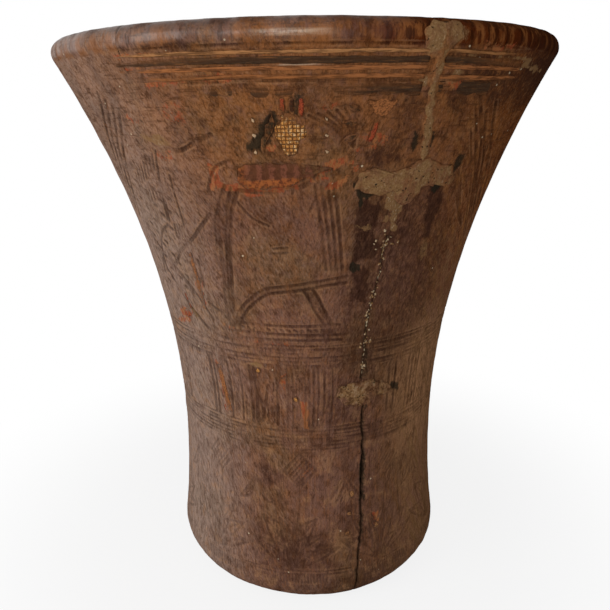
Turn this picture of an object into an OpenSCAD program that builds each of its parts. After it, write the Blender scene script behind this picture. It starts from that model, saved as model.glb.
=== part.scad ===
// A kero: a tall drinking cup carved from one block of hardwood, flared to the rim,
// with coloured resin inlays let into the wall and old putty repairs along a split.
// Millimetres, +Z up, origin at the middle of the base, front of the cup towards -Y.

/* [Cup] */
// Height from the base to the crest of the lip
cup_h = 190; // [170:1:220]
// Outer diameter at the waist
waist_d = 98; // [86:1:120]
// Height of the waist above the base
waist_z = 51; // [45:1:58]
// Radius of the long hollow curve of the wall
wall_arc_r = 290; // [250:5:400]
// Thickness of the wall, which the lip rounds off
wall_t = 7.5; // [6:0.5:9]
// Radius of the rounded foot
foot_r = 9.5; // [6:0.5:10]
// Thickness of the floor
floor_t = 18; // [12:1:24]
// Radius where the hollow's side meets its floor
hollow_r = 14; // [6:1:20]

/* [Rim lines] */
// Distance from the crest of the lip down to the pale line
pale_line_drop = 7.2; // [6.9:0.1:7.4]
// Height of the pale line
pale_line_h = 0.7; // [0.4:0.1:0.8]
// Distance from the crest down to the dark band
dark_band_drop = 8.6; // [8.4:0.1:8.8]
// Height of the dark band
dark_band_h = 1.5; // [1:0.1:1.6]
// Distance from the crest down to the upper orange line
upper_line_drop = 10.6; // [10.5:0.1:10.8]
// Distance from the crest down to the lower orange line
lower_line_drop = 12.6; // [12.4:0.1:12.8]
// Height of each orange line
orange_line_h = 0.8; // [0.5:0.1:1]
// Distance from the crest down to the band above the frieze
frieze_band_drop = 14.1; // [13.9:0.1:14.3]
// Height of the band above the frieze
frieze_band_h = 3.3; // [2:0.1:3.4]

/* [Turned grooves] */
// Width of a turned groove at the surface
groove_w = 0.9; // [0.5:0.1:1.2]
// Depth of a turned groove
groove_depth = 0.5; // [0.3:0.1:0.8]
// Height of the lowest groove of the border under the frieze
frieze_border_z = 93.5; // [90:0.5:96]
// Height of the lowest groove of the border under the middle register
register_border_z = 63.5; // [60:0.5:66]
// Height of the lowest groove of the border at the foot
foot_border_z = 12; // [11:0.5:16]
// Spacing of the grooves in a border
border_pitch = 2.8; // [2:0.1:3.2]

/* [Inlays] */
// Depth of the resin inlays
inlay_depth = 0.9; // [0.5:0.1:1.5]
// Bedding gap all round an inlay
inlay_gap = 0.1; // [0.05:0.05:0.15]
// Least width of wood between neighbouring inlays
motif_gap = 0.6; // [0.4:0.1:1]
// Width of the tunic
tunic_w = 6.4; // [5:0.2:6.6]
// Height of the tunic
tunic_h = 10.4; // [8:0.2:10.6]
// Width of the tunic's neck
neck_w = 3.6; // [2:0.2:4.4]
// Drop of the tunic's shoulders
shoulder_drop = 1.6; // [0.8:0.2:2.4]
// Length of a plume
plume_l = 2.6; // [1.6:0.2:2.8]
// Width of a plume
plume_w = 1.6; // [1:0.2:2]
// Width of the cloak's wing
cloak_w = 4; // [3:0.2:4.4]
// Height of the cloak's wing
cloak_h = 11; // [9:0.2:11.4]
// Distance from the top of the frieze down to the middle of the garland
garland_drop = 19.3; // [18.9:0.1:22]
// Width of the garland
garland_w = 25; // [20:0.5:26]
// Depth of the garland from its top to the bottom of its bow
garland_h = 7.4; // [5:0.2:7.6]
// Width of the flower's mouth
bell_mouth_w = 7.4; // [6:0.2:8]
// Width of the flower where it meets its stem
bell_neck_w = 4.2; // [3:0.2:5]
// Height of the flower
bell_h = 4; // [3:0.2:4.2]
// Length of the flower's stem
stem_l = 6.2; // [4:0.2:6.6]
// Width of the flower's stem
stem_w = 1.3; // [0.8:0.1:1.6]
// Length of a leaf
leaf_l = 5.2; // [4:0.2:5.6]
// Width of a leaf
leaf_w = 1.7; // [1:0.1:2]
// Diameter of a seed
seed_d = 1.3; // [0.8:0.1:1.6]
// Height between neighbouring seeds
seed_pitch = 4; // [3:0.2:4.4]
// Distance of a row of seeds from the middle of the tunic
seed_row_x = 9; // [8.5:0.1:10]
// Height of the plant stem's foot above the border
plant_rise = 16.5; // [10:0.5:18]
// Length of the tall plant stem
plant_l = 19; // [14:0.5:22]
// Width of the tall plant stem
plant_w = 1.5; // [1:0.1:2]
// Height of the pelt patch's middle above the border
pelt_rise = 12.6; // [11.4:0.2:14]
// Width of the pelt patch
pelt_w = 5; // [3.6:0.2:5.6]
// Height of the pelt patch
pelt_h = 3.6; // [2.6:0.2:3.8]
// Length of a dash beside the pelt patch
dash_l = 2.4; // [1.6:0.2:2.8]
// Width of a dash beside the pelt patch
dash_w = 0.9; // [0.6:0.1:1.1]
// Length of the slanting stripe in the middle register
slash_l = 17.5; // [12:0.5:18]
// Width of the slanting stripe
slash_w = 1.7; // [1:0.1:2.2]
// Height of the lower chips' middle above the foot border
chip_rise = 24; // [20:1:30]
// Spacing of the lower chips
chip_pitch = 7.4; // [5:0.2:8]
// Width of a loose chip
chip_w = 1.7; // [1.2:0.1:2]
// Height of a loose chip
chip_h = 2.4; // [1.6:0.1:2.6]

/* [Split and repairs] */
// Width of the open split
split_w = 0.9; // [0.6:0.1:1.2]
// Depth of the open split
split_depth = 4; // [3:0.5:5]
// Depth of the putty repairs
putty_depth = 3; // [2:0.5:4.5]
// How far the putty stands proud of the wall
putty_proud = 0.3; // [0.1:0.1:0.5]
// Gap round a piece of putty
putty_gap = 0.1; // [0.05:0.05:0.2]
// Width of the putty strip near the rim
upper_strip_w = 2.4; // [1.8:0.1:3]
// Width of the putty line below the cross-shaped repair
middle_strip_w = 1.3; // [1:0.1:1.8]
// Width of the rim repair
rim_repair_w = 11; // [8:0.5:12]
// Height of the rim repair below the crest
rim_repair_h = 7; // [6:0.2:7.4]
// Distance from the crest down to the middle of the upper cross-shaped repair
upper_cross_drop = 38.5; // [34:0.5:42]
// Height of the middle of the lower cross-shaped repair
lower_cross_z = 82; // [78:0.5:84]
// Width of the upper cross-shaped repair
upper_cross_w = 34; // [28:1:36]
// Height of the upper cross-shaped repair
upper_cross_h = 14; // [11:0.5:15]
// Width of the lower cross-shaped repair
lower_cross_w = 22; // [16:1:24]
// Height of the lower cross-shaped repair
lower_cross_h = 10; // [8:0.5:11]

/* [Hidden] */
$fn = 96;
front = 0;
back = 180;

// The wall is an arc about a point outside the cup, level with the waist.
arc_centre_r = waist_d / 2 + wall_arc_r;
lip_r = wall_t / 2;
lip_angle = asin((cup_h - lip_r - waist_z) / (wall_arc_r + lip_r));
foot_angle = -asin((waist_z - foot_r) / (wall_arc_r + foot_r));
wall_steps = 28;
round_steps = 10;
// How far a cut passes beyond the surface that it starts from
cut_over = 2;
// A stamp reaches from the axis to well outside the rim
stamp_reach = waist_d / 2 + cup_h;

// Angles round the cup from the middle of the front, positive to the right
figure_phi = -3.1;
garland_phi = -4.5;
flower_phi = 14.4;
plant_phi = -36;
pelt_phi = -46;
slash_phi = -33.5;
upper_chip_phi = -17.6;
lower_chip_phi = 16;
red_chip_phi = 27.8;
split_phi = 21.5;
upper_cross_phi = 25;
rim_repair_phi = 23;

// Heights that the motifs are hung from
frieze_top_z = cup_h - frieze_band_drop - frieze_band_h;
plume_z = frieze_top_z - motif_gap - plume_l / 2;
tunic_z = plume_z - plume_l / 2 - motif_gap - tunic_h / 2;
flower_z = frieze_top_z - motif_gap - bell_h / 2;
stem_z = flower_z - bell_h / 2 - motif_gap - stem_l / 2;
garland_z = frieze_top_z - garland_drop;
plant_z = frieze_border_z + plant_rise + plant_l / 2;
pelt_z = frieze_border_z + pelt_rise;
register_mid_z = (frieze_border_z + register_border_z + 2 * border_pitch) / 2;
upper_chip_z = frieze_border_z - groove_w - motif_gap - chip_h / 2;
chips_z = foot_border_z + chip_rise;
upper_cross_z = cup_h - upper_cross_drop;

// A point of the wall curve, sunk by depth along the wall's own normal
function wall_point(depth, angle) =
    [arc_centre_r - (wall_arc_r + depth) * cos(angle), waist_z + (wall_arc_r + depth) * sin(angle)];

// The wall curve between two angles
function wall_curve(depth, from, to) =
    [for (i = [0:wall_steps]) wall_point(depth, from + (to - from) * i / wall_steps)];

// Points of a round of radius r about a centre
function round_curve(centre, r, from, to) =
    [for (i = [0:round_steps])
        let (angle = from + (to - from) * i / round_steps)
        centre + r * [cos(angle), sin(angle)]];

// Outer radius of the wall at a height
function wall_r(z) = arc_centre_r - sqrt(pow(wall_arc_r, 2) - pow(z - waist_z, 2));

function reversed(points) = [for (i = [len(points) - 1:-1:0]) points[i]];
function unit(v) = v / norm(v);
function right_of(v) = [v.y, -v.x];

// An outline with each side moved out by gap, for outlines listed anticlockwise
function grown(points, gap) =
    let (count = len(points))
    [for (i = [0:count - 1])
        let (
            before = right_of(unit(points[i] - points[(i + count - 1) % count])),
            after = right_of(unit(points[(i + 1) % count] - points[i]))
        )
        points[i] + gap * (before + after) / (1 + before * after)];

// A drawn shape of unit width and height, at its real size
function sized(shape, w, h) = [for (p = shape) [p.x * w, p.y * h]];

// A strip of width w that follows a run of points from top to bottom
function strip(run, w) =
    concat([for (p = run) p - [w / 2, 0]], [for (p = reversed(run)) p + [w / 2, 0]]);

// A bar, upright and centred
function bar(l, w) = [[-w / 2, -l / 2], [w / 2, -l / 2], [w / 2, l / 2], [-w / 2, l / 2]];

// A pointed leaf, upright and centred, widest at its middle
function leaf(l, w) =
    let (steps = 6)
    concat(
        [for (i = [0:steps]) [w / 2 * sin(180 * i / steps), l * (i / steps - 0.5)]],
        [for (i = [steps - 1:-1:1]) [-w / 2 * sin(180 * i / steps), l * (i / steps - 0.5)]]
    );

// Outlines of the inlays, each drawn about its own middle
tunic_shape = [
    [-tunic_w / 2, -tunic_h / 2],
    [tunic_w / 2, -tunic_h / 2],
    [tunic_w / 2, tunic_h / 2 - shoulder_drop],
    [neck_w / 2, tunic_h / 2],
    [-neck_w / 2, tunic_h / 2],
    [-tunic_w / 2, tunic_h / 2 - shoulder_drop]
];
cloak_shape = sized(
    [[0.5, -0.25], [0.5, 0.5], [0.1, 0.28], [-0.5, -0.3], [-0.25, -0.5]], cloak_w, cloak_h
);
garland_shape = sized(
    [
        [-0.5, 0.4], [-0.52, -0.42], [-0.25, -0.5], [0.03, -0.36],
        [0.3, 0.05], [0.5, 0.2], [0.48, 0.32], [0.05, 0.44], [-0.24, 0.5]
    ],
    garland_w, garland_h
);
bell_shape = [
    [-bell_neck_w / 2, -bell_h / 2],
    [bell_neck_w / 2, -bell_h / 2],
    [bell_mouth_w / 2, bell_h / 2],
    [0, bell_h * 0.4],
    [-bell_mouth_w / 2, bell_h / 2]
];
pelt_shape = sized(
    [[-0.5, -0.3], [-0.1, -0.5], [0.5, -0.25], [0.4, 0.35], [-0.1, 0.5], [-0.45, 0.2]],
    pelt_w, pelt_h
);
chip_shape = sized([[-0.4, -0.5], [0.5, -0.35], [0.35, 0.5], [-0.5, 0.3]], chip_w, chip_h);

// The inlays of one side. Each row has a name, its colour and its pieces, and each piece
// has an outline, its angle round the cup, its place across that angle's plane, its height and its turn.
motifs = [
    ["tunic", "goldenrod", [[tunic_shape, figure_phi, 0, tunic_z, 0]]],
    ["plumes", "firebrick", [
        for (k = [-1:1])
        [leaf(plume_l, plume_w), figure_phi, k * (plume_w + motif_gap) + motif_gap, plume_z, -12 * k]
    ]],
    ["cloak", "darkslategray", [
        [cloak_shape, figure_phi, -(tunic_w + cloak_w) / 2 - motif_gap, tunic_z + motif_gap, 0]
    ]],
    ["garland", "orangered", [[garland_shape, garland_phi, 0, garland_z, 0]]],
    ["bell_flower", "darkorange", [[bell_shape, flower_phi, 0, flower_z, 0]]],
    ["flower_stem", "brown", [[bar(stem_l, stem_w), flower_phi, -stem_w, stem_z, -12]]],
    ["flower_leaves", "darkolivegreen", [
        for (k = [0:2])
        [
            leaf(leaf_l, leaf_w), flower_phi, -(bell_mouth_w + leaf_l) / 2 - motif_gap,
            flower_z - k * (leaf_w + 3 * motif_gap), 72 + 18 * k
        ]
    ]],
    ["seed_dots", "gold", [
        for (x = [-seed_row_x, seed_row_x], k = [0:2])
        ["dot", figure_phi, x, tunic_z + (1 - k) * seed_pitch, 0]
    ]],
    ["plant_stem", "chocolate", [[bar(plant_l, plant_w), plant_phi, 0, plant_z, 0]]],
    ["pelt_chips", "orange", [
        [pelt_shape, pelt_phi, 0, pelt_z, 0],
        for (k = [0:1])
        [
            bar(dash_l, dash_w), pelt_phi, pelt_w / 2 - k * dash_w,
            pelt_z + (pelt_h + dash_l) / 2 + motif_gap + k * (dash_l + motif_gap), 20
        ]
    ]],
    ["register_slash", "sienna", [[bar(slash_l, slash_w), slash_phi, 0, register_mid_z, 8]]],
    ["register_chips", "khaki", [
        [chip_shape, upper_chip_phi, 0, upper_chip_z, 0],
        [chip_shape, garland_phi, 0, register_mid_z, 15]
    ]],
    ["lower_chips", "tan", [
        for (k = [-1:1])
        [chip_shape, lower_chip_phi, k * chip_w / 2, chips_z + k * chip_pitch, 10 * k],
        [chip_shape, red_chip_phi, 0, chips_z - chip_pitch, 0]
    ]]
];

// Runs of the split, from top to bottom: how far across, and how far down from start to end
function run(steps, from, to) = [for (step = steps) [step[0], from + (to - from) * step[1]]];
putty_lap = 2;
upper_run = run(
    [[2, 0], [4.2, 0.48], [6.2, 1]],
    cup_h - rim_repair_h + putty_lap, upper_cross_z + upper_cross_h / 2 - putty_lap
);
middle_run = run(
    [[4, 0], [0.5, 0.27], [-1.5, 0.58], [-2, 1]],
    upper_cross_z - upper_cross_h / 2 + putty_lap, lower_cross_z + lower_cross_h / 2 - putty_lap
);
open_run = run(
    [[-0.8, 0], [0, 0.23], [0.5, 0.48], [-0.5, 0.68], [-1.5, 1]],
    lower_cross_z - lower_cross_h / 2 + putty_lap, -cut_over
);

// Outlines of the putty repairs
rim_repair_shape = sized(
    [[-0.2, -1], [0.2, -1], [0.42, -0.5], [0.5, 0.5], [-0.5, 0.5], [-0.45, -0.4]],
    rim_repair_w, rim_repair_h
);
upper_cross_shape = sized(
    [
        [-0.48, 0], [-0.28, -0.16], [0, -0.5], [0.22, -0.24], [0.52, -0.22],
        [0.5, 0.28], [0.12, 0.46], [-0.13, 0.25], [-0.43, 0.2]
    ],
    upper_cross_w, upper_cross_h
);
lower_cross_shape = sized(
    [
        [-0.5, 0.26], [-0.33, -0.38], [-0.08, -0.52], [0.18, -0.25], [0.5, -0.2],
        [0.4, 0.12], [0.06, 0.48], [-0.27, 0.4]
    ],
    lower_cross_w, lower_cross_h
);

// The repairs and the open split, as pieces of the same form as the inlays
rim_repair = [rim_repair_shape, rim_repair_phi, 0, cup_h, 0];
upper_cross = [upper_cross_shape, upper_cross_phi, 0, upper_cross_z, 0];
lower_cross = [lower_cross_shape, split_phi, 0, lower_cross_z, 0];
upper_strip = [strip(upper_run, upper_strip_w), split_phi, 0, 0, 0];
middle_strip = [strip(middle_run, middle_strip_w), split_phi, 0, 0, 0];
open_split = [strip(open_run, split_w), split_phi, 0, 0, 0];

// The lines round the rim: distance from the crest to the top of each, and its height
pale_line = [pale_line_drop, pale_line_h];
dark_band = [dark_band_drop, dark_band_h];
upper_line = [upper_line_drop, orange_line_h];
lower_line = [lower_line_drop, orange_line_h];
frieze_band = [frieze_band_drop, frieze_band_h];
rim_lines = [pale_line, dark_band, upper_line, lower_line, frieze_band];
border_heights = concat(
    [for (k = [0:2]) frieze_border_z + k * border_pitch],
    [for (k = [0:2]) register_border_z + k * border_pitch],
    [for (k = [0:1]) foot_border_z + k * border_pitch]
);

// The cup's own section: foot, wall, lip, hollow and floor
module cup_section() {
    lip_centre = wall_point(lip_r, lip_angle);
    foot_centre = wall_point(foot_r, foot_angle);
    hollow_side = waist_d / 2 - wall_t;
    corner_centre = [hollow_side - hollow_r, floor_t + hollow_r];
    polygon(concat(
        [[0, 0]],
        round_curve(foot_centre, foot_r, -90, -foot_angle),
        wall_curve(0, foot_angle, lip_angle),
        round_curve(lip_centre, lip_r, -lip_angle, 180 - lip_angle),
        wall_curve(wall_t, lip_angle, 0),
        round_curve(corner_centre, hollow_r, 0, -90),
        [[0, floor_t]]
    ));
}

// A skin of the wall between two depths; a depth below zero lies outside the wall
module wall_skin(outer, inner) {
    rotate_extrude()
        polygon(concat(
            wall_curve(outer, foot_angle, lip_angle),
            reversed(wall_curve(inner, foot_angle, lip_angle))
        ));
}

// The outer half of the lip, down to the foot of the rim repair
module lip_skin(outer) {
    lip_centre = wall_point(lip_r, lip_angle);
    low_angle = asin((cup_h - rim_repair_h - cut_over - waist_z) / wall_arc_r);
    rotate_extrude()
        polygon(concat(
            [wall_point(lip_r, low_angle), wall_point(outer, low_angle)],
            round_curve(lip_centre, lip_r - outer, -lip_angle, 90),
            [lip_centre]
        ));
}

// An outline carried out from the axis through the wall
module stamp(piece, gap) {
    rotate([0, 0, piece[1]])
        translate([piece[2], 0, piece[3]])
            rotate([90, 0, 0])
                linear_extrude(stamp_reach)
                    rotate(piece[4])
                        if (piece[0] == "dot")
                            circle(d = seed_d + 2 * gap);
                        else
                            polygon(grown(piece[0], gap));
}

// The inlays of one motif, flush with the wall
module inlay(motif, side) {
    color(motif[1])
        for (piece = motif[2])
            intersection() {
                wall_skin(0, inlay_depth);
                rotate([0, 0, side]) stamp(piece, 0);
            }
}

// The pockets of one side's inlays
module inlay_pockets(side) {
    intersection() {
        wall_skin(-cut_over, inlay_depth + inlay_gap);
        rotate([0, 0, side])
            for (motif = motifs, piece = motif[2])
                stamp(piece, inlay_gap);
    }
}

// A repair's putty, or with a gap the place that it fills
module putty(piece, proud, gap) {
    intersection() {
        wall_skin(-proud, putty_depth + gap);
        stamp(piece, gap);
    }
}

// A line round the rim, or with a gap the groove that it lies in
module rim_line(line, proud, gap) {
    top = cup_h - line[0] + gap;
    bottom = cup_h - line[0] - line[1] - gap;
    depth = inlay_depth + gap;
    rotate_extrude()
        polygon([
            [wall_r(bottom) - depth, bottom],
            [wall_r(bottom) + proud, bottom],
            [wall_r(top) + proud, top],
            [wall_r(top) - depth, top]
        ]);
}

// A groove of V section turned into the wall
module turned_groove(z) {
    half = groove_w / 2;
    rotate_extrude()
        polygon([
            [wall_r(z) - groove_depth, z],
            [wall_r(z - half) + cut_over, z - half * (1 + cut_over / groove_depth)],
            [wall_r(z + half) + cut_over, z + half * (1 + cut_over / groove_depth)]
        ]);
}

// The split, open to the foot below the lower repair
module split() {
    intersection() {
        rotate_extrude()
            polygon(concat(
                [[wall_point(split_depth, foot_angle).x, -cut_over]],
                [[arc_centre_r, -cut_over]],
                [[arc_centre_r, cup_h]],
                reversed(wall_curve(split_depth, foot_angle, lip_angle))
            ));
        stamp(open_split, 0);
    }
}

// The place of the rim repair, from outside the lip to the middle of the wall
module rim_repair_place(outer, gap) {
    intersection() {
        lip_skin(outer);
        stamp(rim_repair, gap);
    }
}

module cup_body() {
    color("saddlebrown")
        difference() {
            rotate_extrude() cup_section();
            for (line = rim_lines) rim_line(line, cut_over, inlay_gap);
            for (z = border_heights) turned_groove(z);
            for (side = [front, back]) inlay_pockets(side);
            for (piece = [upper_strip, upper_cross, middle_strip, lower_cross])
                putty(piece, cut_over, putty_gap);
            rim_repair_place(-cut_over, putty_gap);
            split();
        }
}

// A resin line round the rim, broken where the split was filled
module resin_line(line) {
    difference() {
        rim_line(line, 0, 0);
        putty(upper_strip, cut_over, putty_gap);
        rim_repair_place(-cut_over, putty_gap);
    }
}

module rim_pale_line() { color("tan") resin_line(pale_line); }
module rim_dark_band() { color("black") resin_line(dark_band); }
module rim_upper_line() { color("darkorange") resin_line(upper_line); }
module rim_lower_line() { color("darkorange") resin_line(lower_line); }
module frieze_top_band() { color("maroon") resin_line(frieze_band); }

module rim_repair() { color("darkkhaki") rim_repair_place(-putty_proud, 0); }

module upper_cross_repair() { color("darkkhaki") putty(upper_cross, putty_proud, 0); }

module lower_cross_repair() { color("darkkhaki") putty(lower_cross, putty_proud, 0); }

module upper_strip_repair() {
    color("darkkhaki")
        difference() {
            putty(upper_strip, putty_proud, 0);
            rim_repair_place(-cut_over, putty_gap);
            putty(upper_cross, cut_over, 2 * putty_gap);
        }
}

module middle_strip_repair() {
    color("wheat")
        difference() {
            putty(middle_strip, putty_proud, 0);
            putty(upper_cross, cut_over, 2 * putty_gap);
            putty(lower_cross, cut_over, 2 * putty_gap);
        }
}

cup_body();
rim_pale_line();
rim_dark_band();
rim_upper_line();
rim_lower_line();
frieze_top_band();
rim_repair();
upper_strip_repair();
upper_cross_repair();
middle_strip_repair();
lower_cross_repair();
for (motif = motifs) {
    inlay(motif, front);
    inlay(motif, back);
}
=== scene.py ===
"""A carved wooden kero cup with resin inlays and old repairs, dressed around its CAD frame."""

from math import asin, cos, pi, radians, sin

import bpy
import numpy as np
from bpy.props import FloatProperty, FloatVectorProperty, PointerProperty
from bpy.types import Operator, Panel, PropertyGroup
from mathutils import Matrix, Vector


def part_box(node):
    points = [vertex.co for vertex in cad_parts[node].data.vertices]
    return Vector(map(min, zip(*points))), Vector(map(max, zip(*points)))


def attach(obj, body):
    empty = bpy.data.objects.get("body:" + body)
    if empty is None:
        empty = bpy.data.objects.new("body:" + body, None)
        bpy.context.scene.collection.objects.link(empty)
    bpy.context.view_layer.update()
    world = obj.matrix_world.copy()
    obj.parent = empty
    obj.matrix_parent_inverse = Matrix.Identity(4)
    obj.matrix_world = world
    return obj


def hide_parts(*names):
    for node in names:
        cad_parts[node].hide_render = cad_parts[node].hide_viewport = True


bl_info = {
    "name": "Kero cup",
    "version": (1, 0, 0),
    "blender": (4, 5, 0),
    "location": "3D View > Sidebar > Kero",
    "description": "Builds a carved and inlaid wooden cup around its CAD frame",
    "category": "Add Mesh",
}

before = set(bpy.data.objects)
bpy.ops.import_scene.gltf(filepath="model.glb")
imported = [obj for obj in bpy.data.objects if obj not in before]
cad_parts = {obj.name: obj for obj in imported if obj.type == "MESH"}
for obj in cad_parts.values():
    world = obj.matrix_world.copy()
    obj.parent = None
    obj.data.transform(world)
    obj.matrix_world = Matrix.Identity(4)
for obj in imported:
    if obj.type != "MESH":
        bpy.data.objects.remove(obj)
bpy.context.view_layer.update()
CUP_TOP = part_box("cup_body")[1][2]

MM = 1000.0
FAR = 9.0
COLUMNS = 1200
FIRST_ANGLE = -80.0
HALF_TURN = 180.0
FULL_TURN = 360.0
BOLD, FINE, HAIR = 1.1, 0.8, 0.55
DISTANCES = ("line", "pit", "crack", "bed")
AMOUNTS = ("stain", "film", "paint", "smear", "inside")
# Heights in mm where the rim, the frieze, the middle register and the lower wall begin
RIM_START, FRIEZE_START, REGISTER_START, LOWER_START = 176.2, 96.3, 66.3, 14.8
# How far the rim piece reaches down the hollow, and how thick the pieces of the wall are
RIM_REACH, RIM_DEPTH, WALL_DEPTH = 20.0, 3.0, 6.2
# Rows of the hidden side that closes a piece of the wall
HIDDEN_ROWS = 7
# Random fields that make an edge ragged: seed, size, steps of angle and height, steps round the cup
RAGGED = ((71, 0.8, 3.0, 3.5, 120), (72, 0.5, 1.2, 1.6, 300), (73, 0.4, 0.5, 0.7, 720))


def srgb(red, green, blue):
    """The linear colour of a colour written as 0 to 255 on screen."""
    parts = np.array([red, green, blue]) / 255.0
    return tuple(np.where(parts <= 0.04045, parts / 12.92, ((parts + 0.055) / 1.055) ** 2.4))


def length(name, description, default):
    return FloatProperty(name=name, description=description, default=default, unit="LENGTH", precision=4)


def colour(name, description, *levels):
    return FloatVectorProperty(
        name=name, description=description, default=srgb(*levels), subtype="COLOR", size=3, min=0, max=1
    )


class KeroSizes(PropertyGroup):
    """Sizes of the cup and of the cuts in it."""

    cup_height: length("Cup height", "From the base to the top of the lip", CUP_TOP)
    waist_radius: length("Waist radius", "Radius at the narrowest height", 0.049)
    waist_height: length("Waist height", "Height of the narrowest place", 0.051)
    wall_curve: length("Wall curve", "Radius of the long hollow curve of the wall", 0.29)
    wall_thickness: length("Wall thickness", "Between the outside and the hollow", 0.0075)
    foot_round: length("Foot round", "Radius of the rounded foot", 0.0095)
    floor_thickness: length("Floor thickness", "Height of the hollow's floor", 0.018)
    hollow_corner: length("Hollow corner", "Radius between the hollow's side and floor", 0.014)
    line_depth: length("Line depth", "Depth of a bold carved line", 0.0004)
    crack_depth: length("Crack depth", "Depth of the open split", 0.003)
    bed_depth: length("Bed depth", "Depth of the beds that the inlays lie in", 0.0003)
    putty_height: length("Putty height", "How far the repairs stand proud", 0.0003)


class KeroColours(PropertyGroup):
    """Colours of the wood, the resins and the putty."""

    wood: colour("Wood", "The wall's own brown", 122, 84, 60)
    wood_dark: colour("Dark wood", "Deep parts of the grain", 66, 40, 25)
    wood_warm: colour("Warm wood", "Orange brown below the rim and in the grain", 143, 88, 46)
    wood_dull: colour("Dull wood", "Rubbed purple brown of the lower wall", 118, 84, 72)
    wood_olive: colour("Olive wood", "Olive brown casts in the wood", 112, 88, 56)
    # Painted sheen: the left side drawn greyer and lighter; also the colour of the pale strokes there
    painted_sheen: colour("Bloom", "Grey bloom on the rubbed side", 159, 138, 125)
    # Partly the wood's own red brown, partly painted shade: the right side drawn darker and redder
    shade: colour("Red wood", "Deep red brown of the dark side", 120, 65, 27)
    lip_shade: colour("Lip shade", "Deepest red brown, on the dark side of the lip", 82, 34, 8)
    # Also painted shade: the right end of the lip and the rim below it drawn near black
    lip_dark: colour("Lip streaks", "Near black red in the streaks of the lip's dark side", 46, 20, 8)
    wood_tan: colour("Tan wood", "Pale brown of the dark side, below", 163, 120, 85)
    # Also laid as partly painted shade on the rim towards the right
    film: colour("Dark film", "Thin dark film on the wood beside the split", 56, 34, 26)
    # Painted highlight: a pale streak on the front of the lip and a glint on the rim line below
    wear_and_highlight: colour("Rubbed lip", "Pale rubbed streak on the front of the lip", 206, 180, 152)
    # Also laid as painted shade round the beds of the inlays and repairs
    carving: colour("Carving", "Residue in the carved lines", 50, 31, 22)
    crack: colour("Crack", "Inside of the split", 22, 18, 12)
    stain: colour("Stain", "Greenish black stains", 40, 36, 27)
    crumb: colour("Crumb", "Pale specks caught in the pores", 196, 178, 148)
    resin_tan: colour("Tan resin", "Pale rim line and lower chips", 172, 122, 78)
    resin_dark: colour("Dark resin", "Dark bands at the rim", 62, 48, 36)
    resin_orange: colour("Orange resin", "Rim lines, flower and stems", 158, 100, 60)
    resin_vermilion: colour("Vermilion resin", "Garland and pelt", 152, 72, 44)
    resin_red: colour("Red resin", "Plumes and the flower's stem", 158, 68, 44)
    resin_gold: colour("Gold resin", "Tunic and seeds", 216, 152, 80)
    resin_green: colour("Green resin", "Cloak and leaves", 48, 46, 34)
    putty: colour("Putty", "Repairs along the split", 132, 99, 65)


class KeroStudio(PropertyGroup):
    """Camera and light."""

    camera_place: FloatVectorProperty(
        name="Camera place",
        description="Where the camera stands",
        default=(-0.00086, -0.22762, 0.17113),
        subtype="TRANSLATION",
        size=3,
    )
    camera_tilt: FloatProperty(
        name="Camera tilt", description="How far it looks down", default=radians(17.492), subtype="ANGLE"
    )
    camera_roll: FloatProperty(
        name="Camera roll",
        description="Turn about its line of sight",
        default=radians(-0.687),
        subtype="ANGLE",
    )
    camera_lens: FloatProperty(name="Lens", description="Focal length in millimetres", default=36.2)
    key_power: FloatProperty(
        name="Key light", description="Power of the front lamp", default=2.4, unit="POWER"
    )
    side_power: FloatProperty(
        name="Side light", description="Power of the left lamp", default=3.6, unit="POWER"
    )
    fill_level: FloatProperty(name="Fill", description="Strength of the light from all round", default=0.36)


def ramp(value, low, high):
    """0 below low, 1 above high, and the smoothstep curve between."""
    share = np.clip((value - low) / (high - low), 0.0, 1.0)
    return share * share * (3.0 - 2.0 * share)


def field(seed, across, up, wrap=64):
    """Smooth random field from -1 to 1: random heights at whole numbers, blended between by smoothstep.
    It repeats across after wrap steps, so it closes round the cup."""
    lattice = np.random.default_rng(seed).uniform(-1.0, 1.0, (64, wrap))
    left, low = np.floor(across).astype(int), np.floor(up).astype(int)
    blend_x, blend_y = ramp(across - left, 0.0, 1.0), ramp(up - low, 0.0, 1.0)
    at = [lattice[(low + j) % 64, (left + i) % wrap] for j in (0, 1) for i in (0, 1)]
    bottom = at[0] + (at[1] - at[0]) * blend_x
    return bottom + (at[2] + (at[3] - at[2]) * blend_x - bottom) * blend_y


def curve(run, count=4):
    """A smooth run through the given points: Catmull-Rom spans, each sampled at a count of equal steps."""
    points = np.asarray(run, float)
    if len(points) < 3:
        return points
    ends = np.vstack([2 * points[0] - points[1], points, 2 * points[-1] - points[-2]])
    a, b, c, d = (ends[k : len(ends) - 3 + k][:, None] for k in range(4))
    t = (np.arange(count) / count)[None, :, None]
    spans = b + t / 2 * (c - a + t * (2 * a - 5 * b + 4 * c - d + t * (3 * (b - c) + d - a)))
    return np.vstack([spans.reshape(-1, points.shape[1]), points[-1]])


def groove(away, width, depth):
    """Height across a groove with a rounded section: -depth exp(-(away / (0.62 width))^2)."""
    return -depth * np.exp(-((away / (0.62 * width)) ** 2))


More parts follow.
